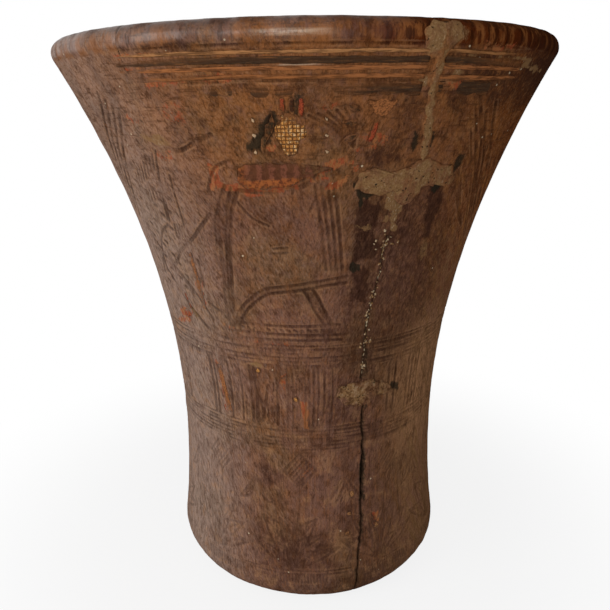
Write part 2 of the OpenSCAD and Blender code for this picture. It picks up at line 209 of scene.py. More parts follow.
class Section:
    """The cup's outline in millimetres, walked by level. On the outer wall the level is the height. Above
    the wall it goes on by the length walked, over the round lip and down the hollow to its floor. Below the
    wall it goes on the same way, round the foot and in under the base."""

    def __init__(self, sizes):
        self.top = sizes.cup_height * MM
        self.waist_z = sizes.waist_height * MM
        self.bow = sizes.wall_curve * MM
        self.thick = sizes.wall_thickness * MM
        self.lip = self.thick / 2
        self.foot = sizes.foot_round * MM
        self.floor = sizes.floor_thickness * MM
        self.corner = sizes.hollow_corner * MM
        self.axis = sizes.waist_radius * MM + self.bow
        self.lip_turn = asin((self.top - self.lip - self.waist_z) / (self.bow + self.lip))
        self.foot_turn = asin((self.waist_z - self.foot) / (self.bow + self.foot))
        self.wall_top = self.waist_z + self.bow * sin(self.lip_turn)
        self.wall_foot = self.waist_z - self.bow * sin(self.foot_turn)
        self.lip_end = self.wall_top + pi * self.lip
        self.curve_end = self.lip_end + (self.bow + self.thick) * self.lip_turn
        self.side_end = self.curve_end + self.waist_z - self.floor - self.corner
        self.corner_end = self.side_end + self.corner * pi / 2
        self.side_r = self.axis - self.bow - self.thick
        self.floor_end = self.corner_end + self.side_r - self.corner
        self.foot_end = self.wall_foot - self.foot * (pi / 2 + self.foot_turn)
        self.foot_r = self.axis - (self.bow + self.foot) * cos(self.foot_turn)
        self.base_end = self.foot_end - self.foot_r

    def about(self, reach, turn):
        """Radius and height of a point at a reach and turn about the wall's own centre."""
        return self.axis - reach * np.cos(turn), self.waist_z + reach * np.sin(turn)

    def at(self, level):
        """Radius, height and lean of the outward normal at each level, part by part."""
        level = np.asarray(level, float)
        r, z, lean = np.zeros_like(level), np.zeros_like(level), np.zeros_like(level)

        def part(low, high, work):
            inside = (level > low) & (level <= high)
            r[inside], z[inside], lean[inside] = work(level[inside])

        def wall(at):
            turn = np.arcsin((at - self.waist_z) / self.bow)
            return *self.about(self.bow, turn), -turn

        def lip(at):
            turn = (at - self.wall_top) / self.lip - self.lip_turn
            r0, z0 = self.about(self.bow + self.lip, self.lip_turn)
            return r0 + self.lip * np.cos(turn), z0 + self.lip * np.sin(turn), turn

        def hollow(at):
            turn = self.lip_turn - (at - self.lip_end) / (self.bow + self.thick)
            return *self.about(self.bow + self.thick, turn), pi - turn

        def side(at):
            return self.side_r, self.waist_z - (at - self.curve_end), pi

        def corner(at):
            turn = (at - self.side_end) / self.corner
            r0, z0 = self.side_r - self.corner, self.floor + self.corner
            return r0 + self.corner * np.cos(turn), z0 - self.corner * np.sin(turn), pi - turn

        def floor(at):
            return self.floor_end - at, self.floor, pi / 2

        def foot(at):
            turn = self.foot_turn - (self.wall_foot - at) / self.foot
            r0, z0 = self.about(self.bow + self.foot, -self.foot_turn)
            return r0 + self.foot * np.cos(turn), z0 + self.foot * np.sin(turn), turn

        def base(at):
            return at - self.base_end, 0.0, -pi / 2

        part(-np.inf, self.foot_end, base)
        part(self.foot_end, self.wall_foot, foot)
        part(self.wall_foot, self.wall_top, wall)
        part(self.wall_top, self.lip_end, lip)
        part(self.lip_end, self.curve_end, hollow)
        part(self.curve_end, self.side_end, side)
        part(self.side_end, self.corner_end, corner)
        part(self.corner_end, np.inf, floor)
        return r, z, lean

    def arc(self, level):
        """Length walked along the outline from the waist to each level."""
        level = np.asarray(level, float)
        held = np.clip(level, self.wall_foot, self.wall_top)
        return self.bow * np.arcsin((held - self.waist_z) / self.bow) + level - held

    def place(self, angle, level, out=0.0):
        """Points of the cup in metres: the outline turned to each angle and moved out along its normal, on
        a round that is a little uneven, as cut by hand."""
        r, z, lean = self.at(np.asarray(level, float))
        turn = np.radians(angle)
        uneven = 0.30 * np.sin(2 * turn + 0.7)
        uneven = uneven + 0.22 * np.sin(3 * turn + z / 55.0)
        uneven = uneven + 0.1 * np.sin(7 * turn - z / 21.0)
        r = r + uneven * np.clip(r / 40.0, 0.0, 1.0) + out * np.cos(lean)
        z = z + out * np.sin(lean)
        spots = np.stack(np.broadcast_arrays(r * np.sin(turn), -r * np.cos(turn), z), axis=-1)
        return spots / MM


class Patch:
    """A stretch of the cup unrolled on a grid of levels and angles, with the fields that the work left on
    it. line, pit, crack and bed are distances in mm beyond the nearest edge, below 0 inside. stain, film,
    paint, smear and inside, the share of the hollow's own look, run from 0 to 1. relief is the height in mm
    over the plain wall."""

    def __init__(self, section, levels, angles):
        self.section = section
        self.levels, self.angles = np.asarray(levels, float), np.asarray(angles, float)
        self.r, self.z, self.lean = section.at(self.levels)
        self.arc = section.arc(self.levels)
        self.scale = np.maximum(self.r, 1.0) * pi / 180
        shape = (len(self.levels), len(self.angles))
        self.line, self.pit, self.crack, self.bed = (np.full(shape, FAR) for _ in range(4))
        self.stain, self.film, self.paint, self.smear, self.relief = (np.zeros(shape) for _ in range(5))
        inner = ramp(self.levels, section.lip_end - section.lip, section.lip_end + 3.0)
        self.inside = self.stain + inner[:, None]

    def near(self, run, reach, closed=False):
        """For each copy of a run that the patch meets: the window of the grid within reach, and each
        point's distance to the run. A closed run gives distances below 0 inside."""
        run = np.asarray(run, float)
        low, high = run[:, 1].min() - reach, run[:, 1].max() + reach
        rows = np.flatnonzero((self.levels >= low) & (self.levels <= high))
        if not len(rows):
            return
        scale = self.scale[rows][:, None]
        for lap in (-FULL_TURN, 0.0, FULL_TURN):
            angles = run[:, 0] + lap
            wide = reach / scale.min()
            within = (self.angles >= angles.min() - wide) & (self.angles <= angles.max() + wide)
            columns = np.flatnonzero(within)
            if not len(columns):
                continue
            x, y = self.angles[columns][None, :] * scale, self.arc[rows][:, None]
            ends = list(zip(angles, self.section.arc(run[:, 1])))
            if closed:
                ends.append(ends[0])
            best = np.full((len(rows), len(columns)), FAR * FAR)
            inside = np.zeros(best.shape, bool)
            for (a0, y0), (a1, y1) in zip(ends[:-1], ends[1:]):
                x0, dx, dy = a0 * scale, (a1 - a0) * scale, y1 - y0
                along = ((x - x0) * dx + (y - y0) * dy) / np.maximum(dx * dx + dy * dy, 1e-9)
                along = np.clip(along, 0.0, 1.0)
                best = np.minimum(best, (x - x0 - along * dx) ** 2 + (y - y0 - along * dy) ** 2)
                if closed and dy:
                    inside ^= ((y0 > y) != (y1 > y)) & (x < x0 + (y - y0) * dx / dy)
            yield np.ix_(rows, columns), np.sqrt(best) * np.where(inside, -1.0, 1.0)

    def cut(self, run, width, depth, mark="line"):
        """A groove along a run, with a rounded section, deepest in the middle."""
        edge = getattr(self, mark)
        for window, away in self.near(run, width + 3.0):
            edge[window] = np.minimum(edge[window], away - width / 2)
            self.relief[window] = np.minimum(self.relief[window], groove(away, width, depth))

    def sink(self, outline, depth):
        """A flat bed inside an outline, with edges that slope over half a millimetre."""
        for window, away in self.near(outline, 3.0, closed=True):
            self.bed[window] = np.minimum(self.bed[window], away)
            self.relief[window] = np.minimum(self.relief[window], -depth * (1.0 - ramp(away, -0.3, 0.3)))

    def tint(self, mark, outline, amount, soft):
        """A stain, film, paint or smear inside an outline, fading over a soft edge that random fields make
        ragged."""
        held = getattr(self, mark)
        for window, away in self.near(outline, soft + 1.0, closed=True):
            rows, columns = window
            angles, levels = self.angles[columns], self.levels[rows]
            for seed, size, wide, tall, wrap in RAGGED:
                away = away + size * field(seed, angles / wide, levels / tall, wrap)
            held[window] = np.maximum(held[window], amount * (1.0 - ramp(away, -soft, soft)))

    def points(self):
        """The patch's points, with its relief."""
        return self.section.place(self.angles[None, :], self.levels[:, None], self.relief)

    def fields(self):
        """The fields that the wood's finish reads."""
        return {name: getattr(self, name) for name in (*DISTANCES, *AMOUNTS)}


class Shell:
    """One closed surface on a grid of rows and columns, joined round its columns. It is closed by a point
    at each end, or round its rows where it has no end points. Strips of rows in flat keep sharp edges, and
    so do the columns of faces in flat_columns."""

    def __init__(self, points, ends=None, fields=None, flat=(), flat_share=0.04, flat_columns=()):
        self.rows, self.columns = points.shape[:2]
        self.ends = ends
        self.points = points.reshape(-1, 3)
        self.fields = {name: values.reshape(-1) for name, values in (fields or {}).items()}
        if ends is not None:
            self.points = np.vstack([self.points, *(np.reshape(end, (1, 3)) for end in ends)])
            self.fields = {n: np.concatenate([v, [v[0], v[-1]]]) for n, v in self.fields.items()}
        strips = self.rows - 1 + (2 if ends is not None else 1)
        self.sharp = np.zeros(strips, bool)
        self.sharp[list(flat)] = True
        self.sharp_columns = np.zeros(self.columns, bool)
        self.sharp_columns[list(flat_columns)] = True
        hard, soft = max(1, self.sharp.sum()), max(1, (~self.sharp).sum())
        wide = np.where(self.sharp, flat_share / hard, 1.0 / soft)
        self.row_marks = np.concatenate([[0.0], np.cumsum(wide)]) / wide.sum()

    def faces(self, low, high):
        """Corner points, texture places and sharpness of the faces, in the band of the texture from low to
        high. Faces turn outwards: the shell's own volume comes out above zero."""
        count, columns = self.rows * self.columns, np.arange(self.columns)
        after = (columns + 1) % self.columns
        left, right = columns / self.columns, (columns + 1) / self.columns
        marks = low + (high - low) * self.row_marks
        ring = self.ends is None
        first = 0 if ring else 1
        row = np.arange(self.rows if ring else self.rows - 1)[:, None]
        next_row = (row + 1) % self.rows
        quads = np.stack(
            [row * self.columns + columns, row * self.columns + after,
             next_row * self.columns + after, next_row * self.columns + columns], axis=-1
        ).reshape(-1, 4)
        below, above = marks[row + first], marks[row + first + 1]
        places = np.stack(
            [np.stack(np.broadcast_arrays(u, v), axis=-1)
             for u, v in ((left, below), (right, below), (right, above), (left, above))], axis=-2
        ).reshape(-1, 4, 2)
        sharp = (self.sharp[first : first + len(row), None] | self.sharp_columns).reshape(-1)
        groups = [(quads, places, sharp)]
        if not ring:
            last = (self.rows - 1) * self.columns
            middle = (left + right) / 2
            start = np.stack([np.full_like(columns, count), after, columns], axis=-1)
            finish = np.stack([np.full_like(columns, count + 1), last + columns, last + after], axis=-1)
            for tris, tip, base, turn, strip in (
                (start, marks[0], marks[1], (right, left), 0),
                (finish, marks[-1], marks[-2], (left, right), -1),
            ):
                corners = [(middle, tip), (turn[0], base), (turn[1], base)]
                spots = np.stack([np.stack(np.broadcast_arrays(u, v), axis=-1) for u, v in corners], axis=1)
                groups.append((tris, spots, np.full(self.columns, self.sharp[strip])))
        volume = 0.0
        for corners, _, _ in groups:
            p = self.points[corners]
            for k in range(1, corners.shape[1] - 1):
                volume += np.einsum("ij,ij->", p[:, 0], np.cross(p[:, k], p[:, k + 1]))
        if volume < 0:
            groups = [(corners[:, ::-1], spots[:, ::-1], sharp) for corners, spots, sharp in groups]
        return groups


def make_piece(name, shells, finish, slot, *nodes):
    """One object from closed shells, each with its own band of the texture, with the shells' fields as
    attributes. It rides on the body and stands for the named CAD nodes."""
    points, corners, totals, places, sharp, fields = [], [], [], [], [], {}
    offset = 0
    for k, shell in enumerate(shells):
        gap = 0.1 / len(shells) if len(shells) > 1 else 0.0
        for faces, spots, hard in shell.faces((k + gap) / len(shells), (k + 1 - gap) / len(shells)):
            corners.append((faces + offset).reshape(-1))
            places.append(spots.reshape(-1, 2))
            totals.append(np.full(len(faces), faces.shape[1]))
            sharp.append(hard)
        points.append(shell.points)
        for field_name, values in shell.fields.items():
            fields.setdefault(field_name, []).append(values)
        offset += len(shell.points)
    points, corners, totals = np.vstack(points), np.concatenate(corners), np.concatenate(totals)
    mesh = bpy.data.meshes.new(name)
    mesh.vertices.add(len(points))
    mesh.vertices.foreach_set("co", points.astype(np.float32).reshape(-1))
    mesh.loops.add(len(corners))
    mesh.loops.foreach_set("vertex_index", corners.astype(np.int32))
    mesh.polygons.add(len(totals))
    starts = np.concatenate([[0], np.cumsum(totals)[:-1]])
    mesh.polygons.foreach_set("loop_start", starts.astype(np.int32))
    mesh.update(calc_edges=True)
    sharp = np.concatenate(sharp)
    mesh.polygons.foreach_set("use_smooth", ~sharp)
    edges, flat_side = np.empty(len(corners), np.int32), np.repeat(sharp, totals)
    mesh.loops.foreach_get("edge_index", edges)
    meets = np.zeros((2, len(mesh.edges)), bool)
    meets[0, edges[flat_side]] = True
    meets[1, edges[~flat_side]] = True
    mesh.edges.foreach_set("use_edge_sharp", meets.all(axis=0))
    texture = mesh.uv_layers.new(name="OFBake")
    texture.data.foreach_set("uv", np.vstack(places).astype(np.float32).reshape(-1))
    for field_name, values in fields.items():
        layer = mesh.attributes.new(field_name, "FLOAT", "POINT")
        layer.data.foreach_set("value", np.concatenate(values).astype(np.float32))
    mesh.materials.append(finish)
    mesh.validate()
    piece = bpy.data.objects.new(name, mesh)
    bpy.context.scene.collection.objects.link(piece)
    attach(piece, "root")
    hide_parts(*nodes)
    return piece


class Wire:
    """A value in a node tree: arithmetic on it adds Math nodes."""

    def __init__(self, tree, socket):
        self.tree, self.socket = tree, socket

    def math(self, operation, *values):
        inputs = dict(enumerate((self, *values)))
        return self.tree.node("ShaderNodeMath", {"operation": operation}, inputs)

    def __add__(self, other):
        return self.math("ADD", other)

    def __sub__(self, other):
        return self.math("SUBTRACT", other)

    def __rsub__(self, other):
        return self.tree.node("ShaderNodeMath", {"operation": "SUBTRACT"}, {0: other, 1: self})

    def __mul__(self, other):
        return self.math("MULTIPLY", other)

    def __truediv__(self, other):
        return self.math("DIVIDE", other)

    def __gt__(self, other):
        return self.math("GREATER_THAN", other)

    __radd__ = __add__

    def largest(self, other):
        return self.math("MAXIMUM", other)

    def ramp(self, low, high, start=0.0, end=1.0):
        """Start below low, end above high, smoothstep between. High may lie below low."""
        if high < low:
            low, high, start, end = high, low, end, start
        return self.tree.node(
            "ShaderNodeMapRange",
            {"interpolation_type": "SMOOTHSTEP"},
            {"Value": self, "From Min": low, "From Max": high, "To Min": start, "To Max": end},
        )


class Tree:
    """A node tree under work: makes its nodes and joins them."""

    def __init__(self, graph):
        self.graph = graph

    def node(self, kind, settings=None, inputs=None, output=0):
        """A node of a kind: settings first, then values or links for its sockets; gives one output."""
        node = self.graph.nodes.new(kind)
        for key, value in (settings or {}).items():
            setattr(node, key, value)
        for key, value in (inputs or {}).items():
            self.join(node.inputs[key], value)
        return Wire(self, node.outputs[output])

    def join(self, socket, value):
        if isinstance(value, Wire):
            self.graph.links.new(value.socket, socket)
        else:
            socket.default_value = value

    def seen(self):
        """1 for rays from the camera, a mirror or glass."""
        path = self.graph.nodes.new("ShaderNodeLightPath")
        kinds = ("Is Camera Ray", "Is Glossy Ray", "Is Transmission Ray")
        camera, mirror, glass = (Wire(self, path.outputs[kind]) for kind in kinds)
        return camera.largest(mirror).largest(glass)


class Bench(Tree):
    """A material under work: its nodes and its shader."""

    def __init__(self, name):
        self.material = bpy.data.materials.new(name)
        self.material.use_nodes = True
        super().__init__(self.material.node_tree)
        self.shader = self.graph.nodes["Principled BSDF"]
        self.spot = self.scaled(self.node("ShaderNodeTexCoord", output="Object"), (MM, MM, MM))

    def scaled(self, vector, by):
        return self.node("ShaderNodeVectorMath", {"operation": "MULTIPLY"}, {0: vector, 1: by})

    def mark(self, name):
        """A field that the piece carries on its points."""
        return self.node("ShaderNodeAttribute", {"attribute_name": name}, output="Fac")

    def axis(self, name):
        """One part of the place on the object, in mm."""
        return self.node("ShaderNodeSeparateXYZ", inputs={0: self.spot}, output=name)

    def side(self):
        """The cosine of the turn from the side with the painted grey sheen, left of the front:
        -1 on the side with painted shade.
        """
        flat = self.scaled(self.spot, (1, 1, 0))
        reach = self.node("ShaderNodeVectorMath", {"operation": "LENGTH"}, {0: flat}, "Value")
        return (self.axis("X") * -0.966 + self.axis("Y") * -0.259) / reach

    def twisted(self, by):
        """The place on the object, turned about the cup's axis by so many radians for each mm of height."""
        places = {"Vector": self.spot, "Angle": self.axis("Z") * by}
        return self.node("ShaderNodeVectorRotate", {"rotation_type": "Z_AXIS"}, places)

    def noise(self, size, stretch=(1, 1, 1), detail=2.0, rough=0.5, seed=0.0, place=None):
        """Noise with lumps of a size in mm, stretched along the axes; about 0.5 in the middle."""
        place = place or self.spot
        moved = self.node(
            "ShaderNodeMapping", inputs={"Vector": place, "Location": (seed, seed, seed), "Scale": stretch}
        )
        return self.node(
            "ShaderNodeTexNoise",
            inputs={"Vector": moved, "Scale": 1.0 / size, "Detail": detail, "Roughness": rough},
        )

    def cells(self, size, output="Distance"):
        """Distance to the nearest of a scatter of points about size mm apart, or the point's own colour."""
        inputs = {"Vector": self.spot, "Scale": 1.0 / size}
        return self.node("ShaderNodeTexVoronoi", inputs=inputs, output=output)

    def torn(self, name, tear, low, high):
        """Share covered by a patch that the piece carries as a field, with its edge torn by a noise."""
        mark = self.mark(name)
        return (mark + tear).ramp(low, high) * mark.ramp(0.02, 0.2)

    def blend(self, share, first, second):
        """The first colour going over to the second by share."""
        first, second = (c if isinstance(c, Wire) else (*c, 1.0) for c in (first, second))
        node = self.graph.nodes.new("ShaderNodeMix")
        node.data_type = "RGBA"
        self.join(node.inputs[0], share)
        self.join(node.inputs[6], first)
        self.join(node.inputs[7], second)
        return Wire(self, node.outputs[2])

    def coats(self, base, rows):
        """A colour under coats laid on in turn, each as (share, colour)."""
        for share, tone in rows:
            base = self.blend(share, base, tone)
        return base

    def finish(self, base, rough, bump, bump_mm):
        """Joins colour, roughness and bump to the shader, which has no sheen."""
        self.join(self.shader.inputs["Base Color"], base)
        self.join(self.shader.inputs["Roughness"], rough)
        inputs = {"Height": bump, "Distance": bump_mm / MM}
        self.join(self.shader.inputs["Normal"], self.node("ShaderNodeBump", inputs=inputs, output="Normal"))
        self.shader.inputs["Specular IOR Level"].default_value = 0.0
        return self.material


def wood_tone(b, colours):
    """Rubbed dark hardwood, as its colour, height, fine noise and warmth: casts of olive and purple, orange
    towards the rim, a painted grey sheen on the left and red brown with painted shade on the right,
    under fibres and leaning strokes."""
    z, side = b.axis("Z"), b.side()
    # left carries the painted grey sheen, right the painted shade
    left, right = side.ramp(0.5, 1.0), side.ramp(0.0, -0.75)
    mottle = b.noise(9.0, (1, 1, 0.6), 5.0, 0.65)
    cast = b.noise(24.0, (1, 1, 0.8), 3.0, 0.55, 29.0)
    fibre = b.noise(0.6, (1, 1, 0.05), 4.0, 0.7)
    fine = b.noise(0.5, (1, 1, 0.5), 4.0, 0.75, 3.0)
    hue = b.noise(3.0, (1, 1, 0.7), 4.0, 0.65, 47.0)
    lean = [b.noise(0.6, (1, 1, 0.2), 4.0, 0.7, 41.0, b.twisted(turn)) for turn in (0.009, -0.009)]
    strokes = lean[1] + (lean[0] - lean[1]) * side.ramp(0.0, 0.45)
    brush = b.noise(1.0, (0.12, 0.12, 1.0), 5.0, 0.7, 5.0)
    blotch = b.noise(4.5, (1, 1, 0.8), 5.0, 0.7, 15.0)
    streak = b.noise(2.4, (1, 1, 0.07), 4.0, 0.65, 33.0, b.twisted(0.0104))
    specks = b.noise(0.9, (1, 1, 0.6), 3.0, 0.7, 71.0)
    warm = (z + mottle * 40.0).ramp(150.0, 192.0)
    casts = [
        (mottle.ramp(0.42, 0.64) * 0.6, colours.wood_dark),
        (cast.ramp(0.5, 0.62) * (1 - warm * 0.3) * 0.48, colours.wood_olive),
        (cast.ramp(0.56, 0.38, 0.25, 0.75) * (1 - warm), colours.wood_dull),
        (warm * mottle.ramp(0.64, 0.42, 0.2, 0.7), colours.wood_warm),
        (hue.ramp(0.5, 0.68) * 0.3 * (1 - left * 0.6), colours.wood_warm),
        (hue.ramp(0.5, 0.34) * 0.4, colours.wood_dull),
        # Painted sheen on the left side, broken up by the strokes
        (left * (1 - warm * 0.3) * strokes.ramp(0.62, 0.42, 0.5, 0.8), colours.painted_sheen),
    ]
    tan_below = side.ramp(-0.15, -0.5) * z.ramp(114.0, 90.0, 0.0, 0.9) * z.ramp(45.0, 64.0, 0.3, 1.0)
    mid_right = right * z.ramp(140.0, 125.0)
    # Coats of the right side: painted shade, with streaks, blotches and flecks of the grain
    shade_and_grain_right = [
        # Partly painted shade: the right side reddened and darkened, more towards the top
        (right * z.ramp(90.0, 140.0, 0.05, 0.7), colours.shade),
        (tan_below, colours.wood_tan),
        (right * streak.ramp(0.5, 0.6) * 0.55, colours.wood_olive),
        (right * streak.ramp(0.52, 0.6) * z.ramp(100.0, 150.0, 0.15, 0.95), colours.wood_warm),
        (right * streak.ramp(0.48, 0.4) * z.ramp(90.0, 140.0, 0.15, 0.62), colours.wood_dark),
        (blotch.ramp(0.53, 0.66) * warm * 0.55, colours.wood_dark),
        (z.ramp(17.0, 9.0) * side.ramp(0.75, 0.2, 0.1, 0.34), colours.stain),
        # Painted shade: the upper wall and the rim drawn near black towards the right edge
        (right * z.ramp(138.0, 168.0) * side.ramp(-0.35, -0.75) * 0.52, colours.lip_shade),
        (z.ramp(166.0, 178.0) * side.ramp(-0.48, -0.72) * 0.62, colours.lip_dark),
        (mid_right * blotch.ramp(0.5, 0.6) * 0.55, colours.wood_tan),
        (mid_right * blotch.ramp(0.47, 0.37) * 0.45, colours.wood_dark),
        (right * fine.ramp(0.47, 0.34) * 0.55, colours.wood_tan),
        (side.ramp(0.25, -0.05) * side.ramp(-0.55, -0.35) * z.ramp(120.0, 95.0) * 0.22, colours.wood_dark),
    ]
    # Pale strokes, fading out to the right, laid in the colour of the painted sheen
    pale = strokes.ramp(0.49, 0.34) * (1 - warm * 0.6) * side.ramp(-0.2, 0.3)
    grain = [
        (strokes.ramp(0.5, 0.68) * (1 - warm * 0.6) * z.ramp(50.0, 80.0, 0.3, 0.46), colours.wood_dark),
        (pale * z.ramp(50.0, 80.0, 0.15, 0.26), colours.painted_sheen),
        (blotch.ramp(0.5, 0.62) * (1 - left * 0.55) * z.ramp(170.0, 60.0, 0.22, 0.5), colours.wood_dark),
        (blotch.ramp(0.47, 0.37) * z.ramp(170.0, 60.0, 0.12, 0.36), colours.wood_tan),
        (fibre.ramp(0.5, 0.68) * 0.5, colours.wood_dark),
        (fibre.ramp(0.48, 0.3) * (1 - left * 0.8) * 0.35, colours.wood_warm),
        (brush.ramp(0.52, 0.66) * warm * 0.6, colours.wood_dark),
        (fine.ramp(0.53, 0.7) * 0.55, colours.wood_dark),
        (specks.ramp(0.54, 0.66) * z.ramp(50.0, 75.0, 0.1, 0.28), colours.wood_dark),
        (specks.ramp(0.46, 0.34) * z.ramp(50.0, 75.0, 0.1, 0.2), colours.wood_tan),
    ]
    shade = b.coats(colours.wood, casts + shade_and_grain_right + grain)
    height = fibre * 0.7 + fine * 0.6 - strokes.ramp(0.52, 0.68) * 0.5
    return shade, height, fine, warm


def lip_coats(b, colours, inside, stripes, grain):
    """Coats on the lip: plates and stripes of grain, near black on its right with painted shade there
    and along its top edge, a painted grey sheen along its top on the left, and painted highlights on
    its front and on the rim line below.
    """
    x, y, z, side = b.axis("X"), b.axis("Y"), b.axis("Z"), b.side()
    lip = z.ramp(182.8, 184.6) * (1 - inside)
    plates = b.noise(5.0, (1, 1, 0.5), 4.0, 0.65, 51.0)
    figure = (stripes + (plates - 0.5) * 0.5).ramp(0.51, 0.62)
    beyond = side.ramp(0.2, -0.1) * side.ramp(-0.75, -0.5)
    swept = b.noise(2.6, (0.25, 0.25, 1.6), 4.0, 0.6, 57.0) + grain * 0.25
    front = y.ramp(-40.0, -70.0) * x.ramp(9.0, 0.0) * x.ramp(-15.0, -7.0)
    # Painted highlights: a pale streak on the front of the lip and a glint on the rim line below it
    wear_and_highlight = z.ramp(185.3, 186.1) * z.ramp(187.3, 186.7) * front * swept.ramp(0.36, 0.6)
    glint = z.ramp(179.4, 179.55) * z.ramp(179.95, 179.8) * front * swept.ramp(0.4, 0.58)
    return [
        (lip * plates.ramp(0.5, 0.58) * 0.6, colours.wood_warm),
        (lip * plates.ramp(0.49, 0.4) * 0.5, colours.wood_dull),
        (lip * stripes.ramp(0.49, 0.39) * plates.ramp(0.4, 0.55, 0.75, 0.3), colours.wood_dark),
        (lip * side.ramp(0.28, -0.04) * plates.ramp(0.42, 0.58, 0.95, 0.5), colours.lip_shade),
        (lip * side.ramp(0.3, -0.1) * stripes.ramp(0.5, 0.4) * 0.75, colours.lip_dark),
        # Painted shade: the right end of the lip drawn near black
        (lip * side.ramp(-0.3, -0.65) * 0.65, colours.lip_dark),
        (lip * beyond * figure * 0.5, colours.wood_warm),
        # Painted sheen along the top of the lip on the left
        (z.ramp(186.0, 188.0) * side.ramp(0.3, 0.8) * 0.12, colours.painted_sheen),
        # Painted shade: the top edge of the lip, turning away from the light, drawn darker
        (z.ramp(187.4, 189.6) * 0.5, colours.wood_dark),
        (lip * side.ramp(0.4, 0.9) * 0.16, colours.wood_dark),
        # The painted highlights, laid in their pale colour
        (wear_and_highlight.largest(glint) * 0.45, colours.wear_and_highlight),
    ]


def wood_finish(colours, carved):
    """The wood of the cup. On the carved outside the lines hold dark residue, the pits, patches and open
    split show, and the front of the lip is polished. Painted highlights lie beside the carved lines and
    painted shade round the beds of the inlays and repairs."""
    b = Bench("carved_wood" if carved else "hollow_wood")
    base, height, fine, warm = wood_tone(b, colours)
    rough = 0.5 + fine * 0.2
    inside = b.mark("inside") if carved else 1.0
    streaks = b.noise(3.0, (1, 1, 0.06), 3.0, 0.6, 21.0).ramp(0.4, 0.65, 0.3, 0.75)
    base = b.blend(streaks * inside, base, colours.wood_dark)
    if not carved:
        return b.finish(base, rough, height, 0.25)
    z, side = b.axis("Z"), b.side()
    grain = fine - 0.5
    stripes = b.noise(2.0, (1, 1, 0.05), 4.0, 0.65, 21.0)
    worn = b.noise(6.0, (1, 1, 0.5), 4.0, 0.6, 11.0)
    flecks = b.noise(1.3, (1, 1, 0.6), 4.0, 0.7, 61.0)
    near = b.mark("line") + grain * 0.9
    # Painted highlight: the wood just beside the carved lines drawn paler, as their raised rims catch light
    edge = near.ramp(0.05, 0.3) * near.ramp(0.8, 0.4) * worn.ramp(0.42, 0.62)
    dark = z.ramp(56.0, 66.0, 0.5, 0.74) + z.ramp(97.0, 104.0, 0.0, 0.08) + z.ramp(148.0, 160.0, 0.0, 0.18)
    line = near.ramp(0.25, -0.35) * worn.ramp(0.34, 0.62, 0.2, 0.7) * dark * side.ramp(0.5, 0.9, 1.0, 1.15)
    pit = (b.mark("pit") + grain * 0.5).ramp(0.16, -0.14) * 0.36
    crack = (b.mark("crack") + grain * 0.8).ramp(0.2, -0.2)
    tear = (worn - 0.5) * 0.7
    stain = b.torn("stain", tear + grain * 0.9, 0.25, 0.75)
    smear = b.torn("smear", tear + grain * 1.2, 0.4, 0.7)
    paint = b.torn("paint", (worn - 0.5) * 0.5 + (flecks - 0.5) * 1.5 + grain * 1.1, 0.38, 0.66)
    redder = (stripes + grain * 0.6).ramp(0.46, 0.54)
    resins = b.blend(redder, colours.resin_orange, colours.resin_vermilion)
    pale_putty = b.blend(grain.ramp(-0.05, -0.16) * 0.7, colours.putty, colours.crumb)
    veil = b.mark("film")
    thick = veil.ramp(0.6, 0.85) * flecks.ramp(0.44, 0.64, 1.0, 0.74)
    pick = b.node("ShaderNodeSeparateColor", inputs={0: b.cells(3.6, "Color")}, output="Red")
    dots = (b.cells(3.6) + grain * 0.06).ramp(0.1, 0.06) * (pick > z.ramp(140.0, 156.0, 0.87, 0.72))
    coats = lip_coats(b, colours, inside, stripes, grain)
    coats += [
        # Painted highlight beside the carved lines
        (edge * z.ramp(60.0, 78.0, 0.15, 0.3), colours.wood_tan),
        (veil * flecks.ramp(0.46, 0.6, 1.0, 0.36).largest(thick), colours.film),
        (smear * 0.8, pale_putty),
        (paint * 0.74, resins),
        (stain * 0.88, colours.stain),
        (line.largest(pit), colours.carving),
        (line * warm * stripes.ramp(0.54, 0.62) * 0.6, colours.resin_orange),
        # Painted shade round the edges of the beds that the inlays and repairs lie in
        ((b.mark("bed") + grain * 0.8).ramp(0.4, -0.1) * 0.35, colours.carving),
        (crack, colours.crack),
        (dots * 0.85, colours.crumb),
    ]
    polish = z.ramp(184.0, 185.6) * b.axis("Y").ramp(-20.0, -44.0) * b.axis("X").ramp(30.0, 4.0)
    polish = polish * (worn + grain * 0.5).ramp(0.36, 0.6, 0.2, 1.0)
    b.join(b.shader.inputs["Coat Weight"], polish * 0.7)
    b.shader.inputs["Coat Roughness"].default_value = 0.3
    rough = rough + line.largest(stain).largest(crack) * 0.2
    height = height + grain * 0.5 - line * 1.2 - pit
    return b.finish(b.coats(base, coats), rough, height, 0.24)


def resin_finish(name, tint, colours, wear, pattern=None, along=1.0):
    """Old resin inlay: grainy and chipped, worn through to the wood, with an optional drawn pattern. along
    stretches the grain round the cup, for lines that were drawn round it."""
    b = Bench(name)
    stretch = (along, along, 1.0)
    chips = b.noise(1.0, stretch, 5.0, 0.7, 2.0)
    grain = b.noise(0.45, stretch, 3.0, 0.65)
    broad = b.noise(5.0, stretch, 3.0, 0.6, 9.0)
    ground, height, _, _ = wood_tone(b, colours)
    loss = (chips + (broad - 0.5) * 0.9 + b.mark("wear") * 0.3).ramp(0.86 - wear, 1.12 - wear, 0.12, 1.0)
    coats = [
        (grain.ramp(0.44, 0.62) * 0.7, colours.carving),
        (grain.ramp(0.44, 0.3) * 0.4, colours.wood_warm),
        (broad.ramp(0.46, 0.66) * 0.35, colours.wood_warm),
    ]
    shade = b.coats(tint, coats)
    if pattern is not None:
        shade = pattern(b, shade)
    shade = b.blend(loss, shade, b.blend(0.25, ground, colours.carving))
    return b.finish(shade, 0.5 + grain * 0.25, height * 0.5 + chips * 0.7 + grain * 0.5 - loss, 0.22)


